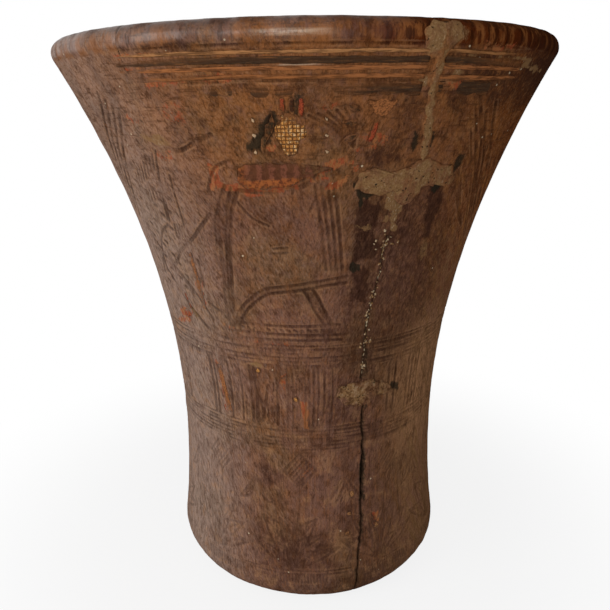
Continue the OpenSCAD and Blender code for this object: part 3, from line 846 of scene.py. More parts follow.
def putty_finish(colours):
    """Dull olive putty: smoothed with a finger, with a few dark holes and stains from the wood."""
    b = Bench("old_putty")
    lumps = b.noise(3.2, detail=4.0, rough=0.6, seed=4.0)
    grain = b.noise(0.6, detail=4.0, rough=0.7)
    holes = b.noise(1.3, detail=4.0, rough=0.6, seed=8.0).ramp(0.63, 0.67)
    rugged = b.axis("Z").ramp(120.0, 100.0)
    flakes = b.noise(1.5, (1, 1, 0.8), 4.0, 0.65, 14.0)
    smear = b.noise(5.0, (1, 1, 0.4), 4.0, 0.65, 17.0)
    ground, _, _, _ = wood_tone(b, colours)
    wear_and_highlight = (b.mark("wear") * 0.8 + (lumps - 0.5) * 1.8).ramp(0.42, 0.8)
    coats = [
        (lumps.ramp(0.46, 0.62) * 0.6, colours.wood),
        (grain.ramp(0.44, 0.32) * 0.25, colours.crumb),
        (rugged * flakes.ramp(0.45, 0.36) * 0.22, colours.crumb),
        (smear.ramp(0.52, 0.6) * 0.75, ground),
        (wear_and_highlight * 0.85, ground),
        (rugged * smear.ramp(0.44, 0.54, 0.1, 0.6), ground),
        (grain.ramp(0.5, 0.62) * 0.35, colours.wood_dark),
        (rugged * flakes.ramp(0.5, 0.6) * 0.7, colours.wood_dark),
        (holes * 0.9, colours.stain),
    ]
    shade = b.coats(colours.putty, coats)
    return b.finish(shade, 0.8 + grain * 0.15, lumps * 0.7 + grain * 0.5 - holes, 0.4)


def crumb_finish(colours):
    """Pale crumbs of filler with dark dirt between."""
    b = Bench("split_crumbs")
    lumps = b.noise(0.9, detail=3.0, rough=0.6, seed=6.0)
    broad = b.noise(2.2, (1.4, 1.4, 0.6), 4.0, 0.65, 19.0)
    shade = b.blend(lumps.ramp(0.46, 0.62) * 0.75, colours.putty, colours.crumb)
    dirt = (b.mark("wear") * 0.5 + (broad - 0.5) * 2.0 - (lumps - 0.5) * 0.8).ramp(0.34, 0.56)
    shade = b.blend(dirt * 0.95, shade, b.blend(broad.ramp(0.4, 0.6), colours.crack, colours.film))
    return b.finish(shade, 0.8 + lumps * 0.1, lumps, 0.4)


def copies(run, count, turn, rise=0.0):
    """Copies of a run, each moved on by a turn and a rise."""
    return [[(angle + k * turn, z + k * rise) for angle, z in run] for k in range(count)]


def frieze_lines():
    """Carved lines of one face of the frieze, as (width, run of angle and height)."""
    bold = [
        [(-16.2, 149), (-18.6, 143), (-21, 133), (-22.6, 123), (-24.6, 107)],
        [(-19, 150.5), (-22.6, 142.5), (-24, 133), (-25.2, 122.5), (-26.2, 114), (-25.8, 106.5)],
        [(-15.6, 149.4), (-9.5, 148.9), (-3.7, 149.9), (0, 151), (2, 153.4)],
        [(-25, 142), (-29, 138), (-33, 134), (-39.4, 129.3), (-42.6, 126), (-46, 123)],
        [(-46, 123), (-42.6, 118.7), (-39.8, 115)],
        [(-57.8, 136), (-55.4, 132.7), (-54.6, 128), (-54.8, 122.7), (-55.8, 119)],
        [(-31, 160.2), (-28, 159.8), (-23, 162.3), (-19.4, 164)],
        [(-45, 111), (-41.5, 107.5), (-38, 104), (-33.5, 101.6), (-28, 100.6)],
    ]
    fine = [
        [(-17.6, 150), (-19.8, 143), (-22, 133), (-23.8, 122), (-25.4, 112)],
        [(-20.3, 147), (-23.6, 141), (-25, 133)],
        [(-25, 106), (-21.5, 112), (-17, 116.4), (-12.5, 119.6), (-6, 120.8), (0, 121.8), (6, 122.8),
         (11.4, 123.6)],
        [(-22.6, 106.5), (-19.6, 111.4), (-15.6, 115.2), (-11.6, 118), (-6, 119), (0, 119.8), (6, 121),
         (11.4, 121.6)],
        [(-1.2, 119.4), (0.6, 116.6), (2.4, 112.4), (5.6, 107.4)],
        [(1.6, 120), (3.4, 116.6), (5.2, 112.8), (8.2, 107.5)],
        [(-52.6, 120), (-51.6, 126.7), (-49, 131.6), (-45.8, 135), (-42, 137)],
        [(-23.8, 148.7), (-21.8, 153.3), (-19.8, 156), (-16, 157.5)],
        [(-41.2, 139), (-40, 145), (-38.6, 150.5), (-37, 155)],
        [(-33.4, 112.7), (-29.8, 110.3), (-26.6, 110)],
        [(-33.4, 127), (-33.9, 118)],
        [(-39.4, 144), (-40.6, 138.5)],
        [(-26, 107.6), (-10, 107.4), (10, 107.7)],
        [(-27, 104.2), (-8, 104.5), (13, 104.2)],
        [(-22, 102.3), (-6, 102.6), (11, 102.4)],
        [(-46, 123), (-41, 118), (-36.6, 112), (-33, 106.6)],
        [(-58, 128), (-52, 121), (-47, 114), (-44, 109)],
    ]
    hair = [
        [(-34.8, 138), (-34.6, 146), (-34, 153)],
        [(-53, 130), (-52.6, 125), (-51.6, 120)],
        [(-16.5, 146), (-13.6, 141.8), (-9.4, 139.4)],
        [(0.7, 143.6), (2.2, 147)],
    ]
    fine += copies([(2, 151), (4, 137), (5.4, 126)], 4, 1.45)
    sweep = [(-62, 137), (-57, 146), (-51, 157), (-45.5, 165), (-42.6, 170)]
    bold += copies(sweep, 4, -1.7, 1.5)
    bold += [[(-6 - a + 2.2 * k, z + 3 - 2.1 * ((k * 3) % 4)) for a, z in sweep] for k in range(4)]
    hair += [[(-6 - a + 1.5 * k, z - 1.9 * ((k * 3) % 5)) for a, z in sweep] for k in range(6)]
    fan = [(9.8, 160.6, 0, 0), (5.2, 165.4, 0.9, 0.35), (0.6, 168.4, 1.7, 0.4)]
    hair += [[(a + turn * k, z + rise * k) for a, z, turn, rise in fan] for k in range(6)]
    hair += copies([(-50, 147.6), (-48.4, 152.4)], 9, 1.6, 0.9)
    hair += copies([(-47, 143.4), (-46.4, 147)], 5, 1.6, 0.7)
    hair += copies([(38.5, 154), (42, 147), (46, 141), (50, 136)], 3, 1.5, -1)
    hair += copies([(-9, 131), (-5, 131.4)], 2, 0, 1.6)
    hair += copies([(-39.2, 134), (-39, 137.8)], 4, 1.1)
    hair += copies([(-15, 156), (-15, 151.5)], 12, 1.6)
    hair += copies([(-24, 106.2), (-23.2, 105.8)], 15, 2.2)
    return [(BOLD, run) for run in bold] + [(FINE, run) for run in fine] + [(HAIR, run) for run in hair]


def side_plant_lines():
    """A tall flowering plant that parts the two faces: a stem, pairs of pointed leaves and bell flowers."""
    middle = 82.0
    lines = [(BOLD, [(middle, 103), (middle + 0.6, 125), (middle, 150), (middle + 0.4, 163)])]
    for k in range(6):
        z, spread = 108 + 8.5 * k, 11.5 - 0.9 * k
        for reach in (-spread, spread):
            tip = (middle + reach, z + 9)
            for share, rise in ((0.5, 7), (0.6, 3)):
                lines.append((FINE, [(middle, z), (middle + reach * share, z + rise), tip]))
    bell = [(-2.2, 0), (-1.2, 5), (1.2, 5), (2.2, 0), (0, 1.4), (-2.2, 0)]
    for turn in (-9, 0, 9):
        z = 164 - abs(turn) * 0.35
        lines.append((FINE, [(middle + turn + a, z + rise) for a, rise in bell]))
    return lines


def register_lines():
    """Upright bars and slanted strokes of one half of the middle register."""
    uprights = {
        BOLD: (-39.6, -21.2, -19.4),
        FINE: (-37.6, -30.5, -11.3, -7.3, 0.3, 2.0),
        HAIR: (-25.5, -5.6, -0.9, 3.5, 5.6, 8.6),
    }
    lines = [(FINE, [(-14.4, 86), (-17.4, 72)]), (FINE, [(-18.4, 87), (-16.6, 73)])]
    for width, places in uprights.items():
        lines += [(width, [(a, 92), (a + 0.3, 82), (a - 0.2, 71.2)]) for a in places]
    lines += [(FINE, [(a, 91), (a + 0.4, 72)]) for a in (31, 34, 41, 43, 45.2, 47)]
    for k in range(5):
        a = 54 + 15 * k
        lines += [(FINE, [(a + s, 91.5), (a + s, 71.5)]) for s in (0, 1.5, 6.5, 8)]
        lines += [(HAIR, run) for run in copies([(a + 2.2, 88), (a + 6, 85.6)], 4, 0, -4)]
    return lines


def lower_lines():
    """Flowers of the lower register: a hatched rhombus on a stem over a fan of long leaves."""
    lines = []
    leaves = ((-17, 11), (-12, 19.5), (-5, 19.5), (4, 18), (10, 19.5), (15, 14), (19, 8))
    for k in range(5):
        c = -3.6 + 36 * k
        edge = [(c - 6.4, 54), (c, 60.4), (c + 6.4, 54), (c, 47.6), (c - 6.4, 54)]
        hair = [[start, end] for start, end in zip(edge[:-1], edge[1:])]
        for j in range(-3, 4):
            x, z = c + 1.05 * j, 54 - 0.95 * j
            hair.append([(x - 3.2, z - 3.6), (x + 3.2, z + 3.6)])
        hair += copies([(c - 10.5, 13.6), (c - 10.3, 10.4)], 18, 1.2)
        lines += [(HAIR, run) for run in hair]
        foot = c - 3.6
        lines.append((FINE, [(c, 47), (c - 0.6, 36), (foot, 16)]))
        for reach, rise in leaves:
            for width, bow in ((FINE, 0.76), (HAIR, 0.58), (FINE, 0.4)):
                middle = (foot + reach * (0.92 - bow), 15.5 + rise * bow)
                lines.append((width, [(foot, 15.5), middle, (foot + reach, 15.5 + rise)]))
        for hand in (-1, 1):
            leaf = [(10, 40), (14, 45), (18, 50), (15, 42), (10, 40)]
            lines.append((FINE, [(c + a * hand, z) for a, z in leaf]))
    return lines


def pelt_spots():
    """Rows of oval spots left of the arch."""
    spots = []
    for k in range(9):
        for j in range(6):
            z = 148.5 - 4.0 * k + 1.3 * ((j * 7 + k * 3) % 3 - 1)
            a = -58 + 3.7 * j + 1.8 * (k % 2)
            if a < -40 + 0.1 * (z - 115):
                spots.append([(a, z), (a + 0.9, z - 0.5)])
    return spots


def tool_dashes():
    """Short cuts and pores scattered over the wall, as (run, width, depth). They lean one way on the left
    of each face and the other way on its right, stand upright in the middle register, and turn to dots
    above."""
    draw = np.random.default_rng(5)
    count = 6500
    angle, z = draw.uniform(-80, 280, count), draw.uniform(4, 172, count)
    turn = np.radians(angle + 6.0)
    slant = np.radians(draw.normal(0, 16, count)) + np.where(z < 66, 0.85, 0.35) * np.sin(turn)
    slant = np.where((z > 66) & (z < 97), 0.25 * slant, slant)
    dotted = ramp(z, 145, 160)
    size = draw.uniform(0.4, 2.0, count) * (1.0 - 0.6 * dotted)
    width = draw.uniform(0.25, 0.45, count) * (1.0 + 0.35 * dotted)
    middle = np.abs((angle + 97.0) % HALF_TURN - 90.0) < 20
    plain = ((middle & (z > 105) & (z < 148)) | (z < 64)) & (draw.random(count) < 0.6)
    dx, dz = np.degrees(size * np.sin(slant) / 60.0), size * np.cos(slant)
    starts, ends = np.stack([angle, z], axis=-1), np.stack([angle + dx, z + dz], axis=-1)
    rows = zip(starts[~plain], ends[~plain], width[~plain])
    return [(np.stack([start, end]), w, 0.08 + 0.2 * w) for start, end, w in rows]


CRACK_RUN = [
    (22.2, 196), (22.4, 188), (24.5, 172), (26.6, 157), (24.4, 146), (22.4, 138), (20.9, 131), (21.2, 125),
    (20.5, 119), (19.6, 112), (19.1, 105), (19.4, 100), (19.3, 88), (20.6, 75), (21.4, 60), (21.4, 45),
    (21.1, 34), (20.6, 26), (19.2, 17), (18.2, 7), (17.6, -7),
]
LIP_CRACK_RUN = [(-34.6, 179), (-34, 185), (-33.8, 192), (-33.6, 199)]
# Stains and other patches: outline of angles and heights, strength, softness of the edge
STAINS = [
    ([(10.6, 151.6), (12, 150), (14, 149.2), (18, 149.4), (17.2, 147.6), (14, 146.6), (12.8, 143.8),
      (11.6, 146)], 1.0, 0.6),
    ([(12.6, 127.2), (15, 127), (14.8, 125.4), (12.8, 125.6)], 1.0, 0.5),
    ([(31.6, 150.6), (37, 150.8), (36.6, 147.8), (32.6, 147.8)], 0.9, 0.9),
    ([(36.6, 157.6), (39.6, 157.4), (39.4, 155), (38, 152), (37, 153.6)], 0.8, 1.2),
    ([(22.8, 164), (24, 163), (24, 157.4), (22.8, 158)], 0.75, 1.0),
    ([(26.8, 164), (28, 163), (28, 157.4), (27, 157.6)], 0.8, 0.6),
    ([(32, 83.6), (36.6, 82.6), (36.6, 79.6), (32, 80.4)], 0.75, 1.2),
    ([(20.4, 62), (22.4, 61), (22.8, 50), (22.2, 40), (20.6, 40), (20.4, 50)], 0.75, 0.9),
    ([(20, 76), (22, 79), (24.6, 81), (24, 79), (22, 75)], 0.8, 0.6),
    ([(18.4, 99), (21.6, 99), (21.4, 88), (18.4, 88)], 0.6, 0.9),
    ([(-13, 160), (-9.4, 166), (-6, 169.6), (-5.2, 167), (-6.6, 163), (-9.6, 160.2)], 0.85, 1.3),
    ([(-1, 173.2), (-3.8, 173.2), (-3.8, 168.4), (-1, 168.4)], 0.6, 0.9),
]
# Thin dark films on the wood; two on the rim towards the right are partly painted shade
FILMS = [
    ([(10.6, 151), (39, 151), (38.4, 128), (36, 112), (37, 96), (24, 88), (9, 88), (8.6, 104),
      (11, 120)], 0.48, 5.0),
    ([(7, 90), (21, 90), (20, 60), (10, 60)], 0.3, 4.0),
    ([(11.6, 150), (16, 146), (18.6, 150), (19, 141), (18.2, 137), (20, 132), (18.6, 127.6),
      (15, 129), (11.8, 127), (12.2, 138)], 0.95, 1.2),
    ([(12.8, 126), (16, 127), (18.2, 125), (17.6, 119), (17.8, 114), (14.6, 115), (12.8, 114)], 0.92, 1.0),
    ([(17, 136), (26, 137), (25, 124), (18, 122)], 0.66, 2.0),
    ([(31.4, 150.4), (37, 150.4), (37.6, 141), (36.6, 133), (33, 132.6), (31.6, 140)], 0.9, 1.2),
    ([(33, 131), (37.4, 131), (37, 122), (34, 121)], 0.66, 1.6),
    ([(33, 119), (38.4, 119), (37.4, 110), (33.6, 109)], 0.64, 2.0),
    ([(-23, 30), (-7, 32), (7, 30), (9, 15), (-20, 15)], 0.5, 4.0),
    ([(-21, 56), (-14, 53), (-15, 48), (-18, 49)], 0.78, 1.6),
    ([(12, 159.5), (17, 160.6), (21.4, 158.6), (21, 156.6), (16, 155.6), (13, 157)], 0.75, 1.0),
    ([(-25, 106), (-21.5, 112.4), (-12, 119.6), (-11.4, 117.8), (-19.4, 111), (-22, 106)], 0.5, 1.0),
    ([(-1, 119.6), (2, 120), (8.6, 107.4), (5.4, 107.4)], 0.56, 1.0),
    ([(-12, 119.8), (0, 121.8), (11.4, 123.8), (11.4, 121.4), (0, 119.6), (-11, 117.8)], 0.36, 1.0),
    ([(25, 182.4), (36, 182.6), (46, 184), (50, 182), (36, 179), (27, 178)], 0.6, 1.6),
    ([(27, 174.6), (33, 174), (33, 170), (28, 170)], 0.6, 1.6),
    ([(-21.6, 92), (-18.6, 92), (-18, 72), (-21, 72)], 0.22, 1.2),
    ([(4.6, 84), (9, 84), (9, 75), (5, 75)], 0.45, 1.4),
    ([(-33, 184.8), (-15, 184.8), (-15, 183.6), (-33, 183.4)], 0.75, 0.5),
    ([(22.4, 70), (31, 70), (31, 63), (22.4, 63)], 0.35, 2.0),
    # These two: dark film on the rim towards the right, partly painted shade
    ([(32, 181), (58, 181), (62, 172), (35, 171)], 0.72, 3.0),
    ([(42, 184), (68, 188), (94, 185), (112, 181), (92, 176), (70, 170), (48, 173)], 0.8, 6.0),
    ([(16, 172), (23.4, 173), (23, 158), (17, 160)], 0.5, 2.5),
    ([(-46, 182), (-22, 182), (-22, 174), (-46, 174)], 0.26, 3.0),
    ([(27, 182), (36, 182.2), (36, 181), (27, 180.8)], 0.8, 0.5),
    ([(26, 178.4), (48, 179.4), (48, 177.6), (26, 177)], 0.7, 0.6),
    ([(20, 146), (38, 146), (47, 128), (44, 106), (20.4, 98)], 0.54, 5.0),
    ([(23.8, 146), (25.6, 146), (27.8, 134), (26.2, 131)], 0.82, 0.8),
    ([(-18.6, 150), (-22.6, 141), (-25.8, 118), (-25.4, 107), (-24, 108), (-22, 124), (-17, 149)],
     0.36, 0.9),
    ([(-16.4, 148.6), (-11, 147.4), (-7.4, 139), (-9, 136.6), (-13, 140)], 0.34, 2.0),
    ([(0, 107), (12, 107), (12, 103), (-2, 103.4)], 0.5, 1.2),
    ([(-33, 189.6), (-12, 190.6), (-12, 188.4), (-33, 187.6)], 0.4, 1.2),
    ([(-66, 172), (-50, 174), (-46, 168), (-58, 150), (-66, 150)], 0.14, 4.0),
]
# Remains of paint on the wood
PAINT = [
    ([(3, 150.5), (7, 152.5), (11, 156.5), (12, 155), (8, 150.5), (4, 148.6)], 0.8, 0.9),
    ([(8.6, 159.6), (13, 160.6), (16, 162.6), (16.4, 161.6), (13, 159.6), (8.8, 158.6)], 0.5, 0.6),
    ([(-8.4, 161.8), (-6.2, 161.6), (-6, 160), (-7.8, 159.6)], 0.8, 0.6),
    ([(-4.2, 158.2), (-2, 158.2), (-2.2, 157), (-4, 157)], 0.9, 0.5),
    ([(-20.6, 156.4), (-19.4, 156), (-20, 150), (-21, 150)], 0.8, 0.5),
    ([(-36, 183.4), (-27, 183.2), (-27, 182), (-36, 182.2)], 0.7, 0.6),
    ([(-31, 177.2), (-21, 177.6), (-21, 175.8), (-31, 175.6)], 0.7, 0.7),
    ([(-20, 177.8), (-11, 178), (-11, 176.2), (-20, 176)], 0.65, 0.7),
    ([(-2.4, 80), (-0.8, 80), (-0.6, 70.5), (-2, 70.5)], 0.8, 0.5),
    ([(-11, 91), (-7.6, 91), (-7.4, 82), (-9.8, 81)], 0.5, 1.4),
    ([(-37.2, 130), (-35, 130), (-34.4, 112), (-36.8, 110)], 0.42, 0.8),
    ([(-35.8, 91), (-34, 91), (-31.8, 72), (-34.2, 71.4)], 0.68, 0.8),
    ([(-52.6, 105.4), (-47, 109), (-43.5, 108), (-43, 105), (-47, 103.6)], 0.8, 1.0),
    ([(-58, 101.8), (-52, 103.4), (-46, 105), (-44.4, 103.8), (-50, 102), (-57, 100.4)], 0.6, 0.7),
    ([(-37, 159), (-30, 160), (-30, 157), (-36, 156.6)], 0.5, 1.2),
    ([(-41.4, 169.6), (-37, 169), (-37, 166), (-40.4, 166.4)], 0.45, 1.1),
    ([(-31, 172), (-23, 172.4), (-24, 167), (-29, 166)], 0.42, 1.8),
    ([(26.2, 33.6), (28.6, 33), (29.2, 30), (27, 29.6)], 0.95, 0.5),
    ([(32, 184.4), (40, 184.8), (40, 183.2), (32, 183)], 0.8, 0.6),
    ([(27, 175.6), (33, 176), (33, 174.6), (27, 174.4)], 0.6, 0.6),
    ([(10.6, 163.2), (13, 164.4), (16, 163.6), (17, 162), (13, 161.4)], 0.6, 0.7),
    ([(-5, 57), (1, 58), (3, 52), (-2, 49)], 0.4, 3.0),
    ([(-15, 149), (-8, 148.4), (-8, 147.4), (-14, 147.8)], 0.7, 0.6),
    ([(-30, 107), (-22, 104.4), (-22, 103), (-30, 105.6)], 0.5, 1.0),
    ([(2, 171), (6, 172), (7, 170.6), (3, 169.6)], 0.5, 0.9),
    ([(-23.2, 149), (-21.8, 156.4), (-20.6, 156.6), (-21.6, 148.6)], 0.8, 0.5),
    ([(-20, 150.8), (-12, 149.8), (-12, 148.6), (-19, 149.4)], 0.7, 0.5),
    ([(4, 155.6), (10, 157.6), (11, 156.4), (5, 154.2)], 0.65, 0.7),
    ([(1, 152.8), (5, 153.6), (5.4, 152.2), (1.4, 151.6)], 0.8, 0.5),
    ([(-18, 102), (-6, 101.6), (-6, 100.4), (-18, 100.8)], 0.5, 0.6),
    ([(-36, 181), (-30, 181), (-30, 178.6), (-36, 178.8)], 0.5, 0.9),
    ([(-17, 151.2), (-12, 149.8), (-6, 150), (-2, 151.6), (-2, 150.2), (-8, 148.6), (-16, 149.2)],
     0.8, 0.7),
    ([(-1, 155.4), (4, 156.8), (9, 158.6), (10, 156.6), (5, 153.8), (0, 152.6)], 0.72, 1.1),
]
# Thin pale smears of putty
SMEARS = [
    ([(37, 182.4), (44, 182.6), (52, 181.4), (52, 180.4), (44, 181), (37, 181.2)], 0.72, 0.6),
    ([(46, 180.6), (53, 180.8), (59, 180), (59, 178.6), (53, 178.8), (46, 179.6)], 0.72, 0.6),
    ([(44, 122), (50, 124), (56, 120), (54, 113), (47, 112)], 0.42, 2.5),
    ([(20.2, 177.6), (22.6, 177.4), (22.2, 174.4), (20.8, 174.6)], 0.8, 0.8),
    ([(26.5, 179.8), (29.6, 180), (29, 176.8), (26.8, 176.4)], 0.75, 0.9),
    ([(29, 183.2), (31.8, 183), (31.4, 180.8), (29.2, 181)], 0.6, 0.8),
    ([(19.6, 160.8), (21.4, 162.6), (22.4, 159.6), (20.4, 158.4)], 0.45, 0.8),
    ([(18.6, 148.6), (25, 149), (24.4, 144), (23.4, 137), (22, 137), (21.4, 143), (18.6, 144)], 0.85, 0.7),
    ([(12.4, 139.2), (17, 139), (20.6, 141.2), (20.6, 140), (16.4, 137.9), (12.4, 138)], 0.6, 0.4),
    ([(-38.4, 163.8), (-33, 163.8), (-28.6, 161.6), (-30, 160.2), (-37.6, 161.6)], 0.72, 0.8),
    ([(-45.6, 111), (-44, 111), (-39.8, 106), (-41, 105.6)], 0.7, 0.6),
    ([(-20.4, 93.2), (-16, 93.6), (-16, 91.8), (-20, 91.4)], 0.8, 0.5),
    ([(9, 85.6), (14, 86), (14, 81), (9.6, 81)], 0.55, 1.0),
    ([(33.8, 133), (36, 133.4), (38.2, 127), (35.4, 124), (34.4, 128)], 0.5, 1.0),
    ([(24.4, 189), (28, 189), (27.6, 185), (25.4, 184)], 0.6, 1.2),
]
# Turned border lines: height and width. The pieces of wood meet in four of them
GROOVES = [
    (92.4, 0.55), (93.5, 0.8), (94.9, 0.55), (FRIEZE_START, 0.8), (97.7, 0.55), (99.1, 0.8),
    (100.6, 0.55), (62.3, 0.55), (63.5, 0.8), (65, 0.55), (REGISTER_START, 0.8), (67.8, 0.55),
    (69.1, 0.8), (70.4, 0.55), (12.0, 0.5), (13.4, 0.45), (LOWER_START, 0.45), (RIM_START, 0.4),
    (184.0, 0.5),
]


def rounded(outline, rounds=2):
    """A closed outline with its corners cut at a quarter and three quarters of each side, some times
    over."""
    points = np.array(outline, float)
    for _ in range(rounds):
        ahead = np.roll(points, -1, axis=0)
        pairs = [0.75 * points + 0.25 * ahead, 0.25 * points + 0.75 * ahead]
        points = np.stack(pairs, axis=1).reshape(-1, 2)
    return points


CLOAK = rounded([(0.5, 0.1), (0.5, 0.5), (0.1, 0.3), (-0.5, -0.3), (-0.4, -0.5), (0.0, -0.25)], 1)
GARLAND = rounded([
    (-0.5, 0.4), (-0.52, -0.42), (-0.25, -0.5), (0.03, -0.36), (0.3, 0.05), (0.5, 0.2), (0.48, 0.32),
    (0.05, 0.44), (-0.24, 0.5),
])
TUNIC = rounded([
    (-0.2, -0.5), (0.18, -0.5), (0.28, -0.28), (0.3, -0.08), (0.56, -0.04), (0.5, 0.2), (0.24, 0.26),
    (0.24, 0.5), (-0.28, 0.5), (-0.28, 0.28), (-0.5, 0.22), (-0.52, -0.02), (-0.4, -0.16), (-0.3, -0.34),
], 1)
BELL = rounded([
    (-0.18, -0.5), (0.18, -0.5), (0.28, -0.1), (0.56, 0.36), (0.46, 0.52), (0.24, 0.34), (0.0, 0.52),
    (-0.24, 0.34), (-0.46, 0.52), (-0.56, 0.36), (-0.28, -0.1),
], 1)
PELT = rounded([(-0.5, -0.3), (-0.1, -0.5), (0.5, -0.25), (0.4, 0.35), (-0.1, 0.5), (-0.45, 0.2)])
CHIP = rounded([(-0.4, -0.5), (0.5, -0.35), (0.35, 0.5), (-0.5, 0.3)], 1)
BAR = np.array([(-0.5, -0.5), (0.5, -0.5), (0.5, 0.5), (-0.5, 0.5)])
LEAF = rounded([(0.0, -0.5), (0.5, -0.1), (0.5, 0.1), (0.0, 0.5), (-0.5, 0.1), (-0.5, -0.1)], 1)
PLUME = rounded([(-0.3, -0.5), (0.4, -0.5), (0.5, 0.0), (0.35, 0.5), (-0.5, 0.45), (-0.4, 0.0)], 1)
RIM_REPAIR = rounded([
    (-0.16, -1.0), (0.2, -1.0), (0.34, -0.5), (0.56, -0.1), (0.4, 0.28), (-0.3, 0.34), (-0.5, -0.2),
    (-0.42, -0.5),
])
UPPER_CROSS = rounded([
    (-0.5, 0.02), (-0.42, -0.24), (-0.24, -0.3), (-0.12, -0.16), (-0.1, -0.5), (0.06, -0.5),
    (0.12, -0.2), (0.3, -0.12), (0.5, -0.2), (0.44, 0.24), (0.3, 0.2), (0.08, 0.46),
    (-0.08, 0.22), (-0.26, 0.12), (-0.38, 0.34),
])
LOWER_CROSS = rounded([
    (-0.5, 0.26), (-0.33, -0.38), (-0.08, -0.52), (0.18, -0.25), (0.5, -0.2), (0.4, 0.12),
    (0.06, 0.48), (-0.27, 0.4),
])

# Each inlay: its slot, and its pieces as (outline, width, height, angle, across, height on the cup, turn)
INLAYS = {
    "tunic": ("resin_gold", [(TUNIC, 7.4, 10.0, -3.1, 0, 163.8, 0)]),
    "plumes": (
        "resin_red",
        [(PLUME, 1.3, 3.4 + 0.6 * k, -3.1, -1.6 + 2.2 * k, 171.0 - 0.4 * k, -3 * k) for k in range(3)],
    ),
    "cloak": ("resin_green", [(CLOAK, 4.0, 11.0, -3.1, -5.8, 164.2, 0)]),
    "garland": ("resin_vermilion", [(GARLAND, 25.0, 7.4, -4.5, 0, 153.3, 0)]),
    "bell_flower": ("resin_orange", [(BELL, 7.4, 4.0, 14.4, 0, 170, 0)]),
    "flower_stem": ("resin_red", [(BAR, 1.3, 6.2, 14.4, -1.3, 164.3, -12)]),
    "flower_leaves": (
        "resin_green",
        [(LEAF, 1.7, 5.2, 14.4, -6.9, 170 - 3.5 * k, 72 + 18 * k) for k in range(3)],
    ),
    "seed_dots": (
        "resin_gold",
        [(LEAF, 0.8, 1.3, -3.1, s * 9, 167.6 - 4 * k, 35) for s in (-1, 1) for k in range(3)],
    ),
    "plant_stem": ("resin_orange", [(BAR, 1.5, 19.0, -36, 0, 119.5, 0)]),
    "pelt_chips": (
        "resin_vermilion",
        [(PELT, 5.0, 3.6, -46, 0, 106.1, 0)]
        + [(BAR, 0.9, 2.4, -46, 2.5 - 0.9 * k, 109.7 + 3 * k, 20) for k in range(2)],
    ),
    "register_slash": ("resin_orange", [(BAR, 1.7, 17.5, -33.5, 0, 81.3, 8)]),
    "register_chips": (
        "resin_gold",
        [(CHIP, 1.7, 2.4, -17.6, 0, 90.8, 0), (CHIP, 1.7, 2.4, -4.5, 0, 81.3, 15)],
    ),
    "lower_chips": (
        "resin_tan",
        [(CHIP, 1.7, 2.4, 16, 0.85 * k, 36 + 7.4 * k, 10 * k) for k in (-1, 0, 1)]
        + [(CHIP, 1.7, 2.4, 27.8, 0, 28.6, 0)],
    ),
}
# Broad repairs, each one piece as above
REPAIRS = {
    "rim_repair": (RIM_REPAIR, 11.0, 7.0, 23, 0, 187.5, 0),
    "upper_cross_repair": (UPPER_CROSS, 34.0, 14.0, 25, 0, 151.5, 0),
    "lower_cross_repair": (LOWER_CROSS, 22.0, 10.0, 21.5, 0, 82, 0),
}
# Strip repairs: runs along the split
UPPER_STRIP = [(22.9, 186), (23.8, 178), (24.4, 171.3), (25.6, 164), (26.6, 156.5)]
MIDDLE_STRIP = [
    (22.2, 137), (20.9, 131), (21.2, 125), (20.5, 119), (19.6, 112), (19.1, 105), (19.2, 85),
]
# Rings round the rim: slot, height, width, wear
RINGS = {
    "rim_pale_line": ("resin_tan", 182.45, 0.8, 0.32),
    "rim_dark_band": ("resin_dark", 180.65, 1.5, 0.28),
    "rim_upper_line": ("resin_orange", 179.0, 0.9, 0.3),
    "rim_lower_line": ("resin_orange", 177.0, 1.0, 0.34),
    "frieze_top_band": ("resin_dark", 174.25, 3.3, 0.42),
}
# A ring this wide or more has no groove of its own
WIDE_RING = 3.0
# Angle of the split where it breaks the rings, and half the gap that it leaves in them
RING_SPLIT, RING_GAP = 23.0, 1.6


def unrolled(section, outline, wide, tall, angle, across, z, turn):
    """An outline drawn about its own middle, as angles and heights on the wall: sized, turned, and set at a
    distance across from an angle."""
    x, y = np.array(outline, float).T * np.array([[wide], [tall]])
    lean = radians(turn)
    x, y = x * cos(lean) - y * sin(lean), x * sin(lean) + y * cos(lean)
    r = section.at(np.minimum(z + y, section.wall_top))[0]
    return np.stack([angle + np.degrees((across + x) / r), z + y], axis=-1)


def face_wear(angles):
    """0 in the middle of each face of the cup, 1 at its sides, where hands wore the rim lines away."""
    return ramp(np.abs((angles + 84.0) % HALF_TURN - 90.0), 26.0, 52.0)


def cut_lines(patch, deep):
    """The carved lines and spots of both faces, and the marks of the tool all over."""
    cuts = [(frieze_lines() + side_plant_lines(), 1.0), (register_lines(), 0.7), (lower_lines(), 0.4)]
    for side in (0.0, HALF_TURN):
        for lines, share in cuts:
            for width, run in lines:
                patch.cut(curve(run) + [side, 0], width, share * deep * (0.45 + 0.5 * width))
        for run in pelt_spots():
            patch.cut(np.array(run) + [side, 0], 1.1, deep * 0.7)
    for run, width, depth in tool_dashes():
        patch.cut(run, width, depth, "pit")


